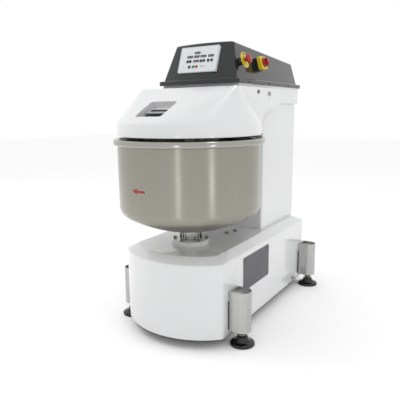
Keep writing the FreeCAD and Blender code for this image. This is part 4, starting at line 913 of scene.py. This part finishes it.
def make_side_controls():
    """The emergency stop's cap, the printed marks and the main switch's pointer."""
    stop, switch = on_side(middle_of("stop_button").y * MM), on_side(middle_of("switch_knob").y * MM)
    cap = STOP_STEM + arc(18.6, 44, 1.9, -80, 0, 4) + [(STOP_RADIUS, 47)]
    cap += eased([(STOP_RADIUS, 47.0), (20.0, 50.2), (17.4, 53.2), (11.5, 55.2), (0, 56.0)])[1:]
    new_piece("stop_mushroom", Form().add(turned(cap), stop), "stop_button", "red_plastic", ["stop_button"])
    marks = Form()
    disc = stop @ Matrix.Translation((0, 0, STOP_DISC_TOP * MM))
    for start in STOP_ARROWS:
        marks.add(curved_arrow(start, start + STOP_ARROW_SPAN), disc)
    marks.add(turned_ring(SWITCH_RING), switch @ Matrix.Translation((0, 0, SWITCH_PLATE_TOP * MM)))
    new_piece("control_marks", marks, "frame", "key_black")
    bar = slab(11, 2.2, 0.8, 0, 0.4, 0.15)
    pointer = Form().add(bar, switch @ Matrix.Translation(POINTER_PLACE * MM))
    new_piece("switch_pointer", pointer, "switch_knob", "membrane")


def curved_arrow(start, stop):
    """A thin arrow bent round a centre, its head at the stop angle."""
    radius, width, lift = STOP_ARROW["radius"], STOP_ARROW["width"], STOP_ARROW["lift"]
    span = stop - ARROW_TIP - start
    sections = [(start + span * step / ARROW_BENDS, width / 2) for step in range(ARROW_BENDS + 1)]
    sections += [(stop - ARROW_TIP, width), (stop, TIP_HALF)]
    loops = []
    for angle, half in sections:
        turn = math.radians(angle)
        near, far = radius - half, radius + half
        loops.append([(reach * math.cos(turn), reach * math.sin(turn), level)
                      for reach, level in ((near, 0), (near, lift), (far, lift), (far, 0))])
    return skinned(loops)


# ---------------------------------------------------------------- feet

FOOT_PLACES = ("front_right", "front_left", "rear_right", "rear_left")
STEM_RADIUS = 9
THREAD_PITCH = 2.5
THREAD_DEPTH = 1.3
NUT_RADIUS = 17
COLLAR_RADIUS = 11.5
# height and offset of the black strips that paint the shade in the gap beside each leg housing
SHADE_STRIP_LEVEL = 0.1295
SHADE_STRIP_OFFSET = 0.3
# the rubber bell's outline, as (inset from the pad's edge, height); it ends at the pad's top
BELL_OUTLINE = ((0, 8), (2.5, 11.5), (9, 14.5), (18, 18.5), (25, 25), (28, 32))
BELL_TOP_INSET = 30


def make_foot(where):
    """A rubber bell and its threaded stem with a hexagon nut."""
    pad_low, pad_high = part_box(f"foot_pad_{where}")
    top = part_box(f"foot_stem_{where}")[1].z / MM - 2
    middle = (pad_low + pad_high) / 2
    place = Matrix.Translation((middle.x, middle.y, 0))
    radius, height = (pad_high.x - pad_low.x) / 2 / MM, pad_high.z / MM
    bell = [(0, 0), (radius - 3, 0)] + arc(radius - 2.5, 2.5, 2.5, -90, 0, 4) + [(radius, 8)]
    outline = [(radius - inset, level) for inset, level in BELL_OUTLINE]
    bell += eased(outline + [(radius - BELL_TOP_INSET, height)])[1:]
    bell.append((0, height))
    body = f"foot_{where}"
    new_piece(f"foot_bell_{where}", Form().add(turned(bell, 96), place), body, "foot_black",
              [f"foot_pad_{where}"], 40)
    nut_low, nut_high = height + 3.5, height + 13
    loops = [[(0, 0, height)]]
    loops += [circle(reach, level, SCREW_SEGMENTS) for reach, level in
              ((13, height), (13.8, height + 1.5), (13.8, nut_low))]
    for scale, level in ((0.93, nut_low), (1, nut_low + 1), (1, nut_high - 1), (0.93, nut_high)):
        loops.append([(x * scale, y * scale, level) for x, y in hexagon(NUT_RADIUS)])
    level = height + 15
    loops += [circle(COLLAR_RADIUS, z, SCREW_SEGMENTS) for z in (nut_high, level)]
    while level < top:
        loops += [circle(STEM_RADIUS, level + THREAD_PITCH * 0.25, SCREW_SEGMENTS),
                  circle(STEM_RADIUS - THREAD_DEPTH, level + THREAD_PITCH * 0.6, SCREW_SEGMENTS)]
        level += THREAD_PITCH
    loops += [circle(STEM_RADIUS - 1.5, top + 2, SCREW_SEGMENTS), [(0, 0, top + 2)]]
    new_piece(f"foot_screw_{where}", Form().add(skinned(loops), place), body, "zinc",
              [f"foot_stem_{where}"], FASTENER_CREASE)


def make_foot_gap_shade_strips():
    """Black strips in the gap between the leg housings and the base: painted shade of that gap."""
    strips = Form()
    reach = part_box("base_shell")[1].x + SHADE_STRIP_OFFSET * MM
    shape = slab(72, 128, 2, 0, 6.4, 0.6)
    for where in FOOT_PLACES:
        low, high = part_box(f"foot_pad_{where}")
        side = 1 if low.x > 0 else -1
        origin = Vector((side * reach, (low.y + high.y) / 2, SHADE_STRIP_LEVEL))
        strips.add(shape, frame_of(origin, Vector((0, side, 0)), Vector((0, 0, 1))))
    new_piece("foot_gap_shade_strips", strips, "frame", "black_plastic")


# ---------------------------------------------------------------- fasteners

HEAD_TURN = 40


def make_base_bolts():
    """Hexagon bolts where the plain heads are, each turned a little differently."""
    form = Form()
    for low, high in solid_boxes("base_bolts"):
        centre = (low + high) / 2
        size = high - low
        spin = Matrix.Rotation(centre.x * HEAD_TURN, 4, "Z")
        place = Matrix.Translation((centre.x, centre.y, low.z)) @ spin
        form.add(hex_bolt(size.x / 2 / MM, size.z / MM), place)
    new_piece("base_hex_bolts", form, "frame", "zinc", ["base_bolts"], FASTENER_CREASE)


def make_cover_screws():
    """Socket-head screws where the plain heads are, each facing out of its panel."""
    form = Form()
    for low, high in solid_boxes("cover_screws"):
        size = high - low
        centre = (low + high) / 2
        axis = min(range(3), key=lambda index: size[index])
        sign = 1 if centre[axis] > 0 else -1
        direction, origin = Vector((0, 0, 0)), centre.copy()
        direction[axis] = sign
        origin[axis] = low[axis] if sign > 0 else high[axis]
        form.add(socket_head(max(size) / 2 / MM, size[axis] / MM), facing(direction, origin))
    new_piece("cover_screw_heads", form, "frame", "zinc", ["cover_screws"], FASTENER_CREASE)


# ---------------------------------------------------------------- carried-over parts

SMOOTH_LIMIT = math.radians(28)
PLAIN_EDGE = 0.0005
EDGE_WIDTH = {"column_shell": 0.0010, "head_housing": 0.0012, "control_panel": 0.0010,
              "switch_plates": 0.0006, "switch_mounts": 0.0008}
OWN_ROUNDING = {"base_shell", "console_cover", "bowl_hub", "spiral_tool", "floor_plate",
                "rear_guard", "lid_recess"}
NODE_WELD = 0.00002


def finish_node(name, node):
    """Gives a carried-over part its material and, where it has none, softly broken edges."""
    node.data.materials.clear()
    node.data.materials.append(materials[slot_of[name]])
    if name in OWN_ROUNDING:
        return
    for face in node.data.polygons:
        face.use_smooth = True
    weld = node.modifiers.new("weld", "WELD")
    weld.merge_threshold = NODE_WELD
    bevel = node.modifiers.new("edges", "BEVEL")
    bevel.width = EDGE_WIDTH.get(name, PLAIN_EDGE)
    bevel.segments = 2
    bevel.limit_method = "ANGLE"
    bevel.angle_limit = SMOOTH_LIMIT
    normals = node.modifiers.new("normals", "WEIGHTED_NORMAL")
    normals.keep_sharp = True


for part_name, part in nodes.items():
    finish_node(part_name, part)

make_bowl()
make_turning_arrow()
make_lid()
make_panel()
make_keys()
make_side_controls()
for foot in FOOT_PLACES:
    make_foot(foot)
make_foot_gap_shade_strips()
make_base_bolts()
make_cover_screws()
make_camera()
make_lights()
make_floor()
bpy.context.scene.view_settings.view_transform = "Standard"
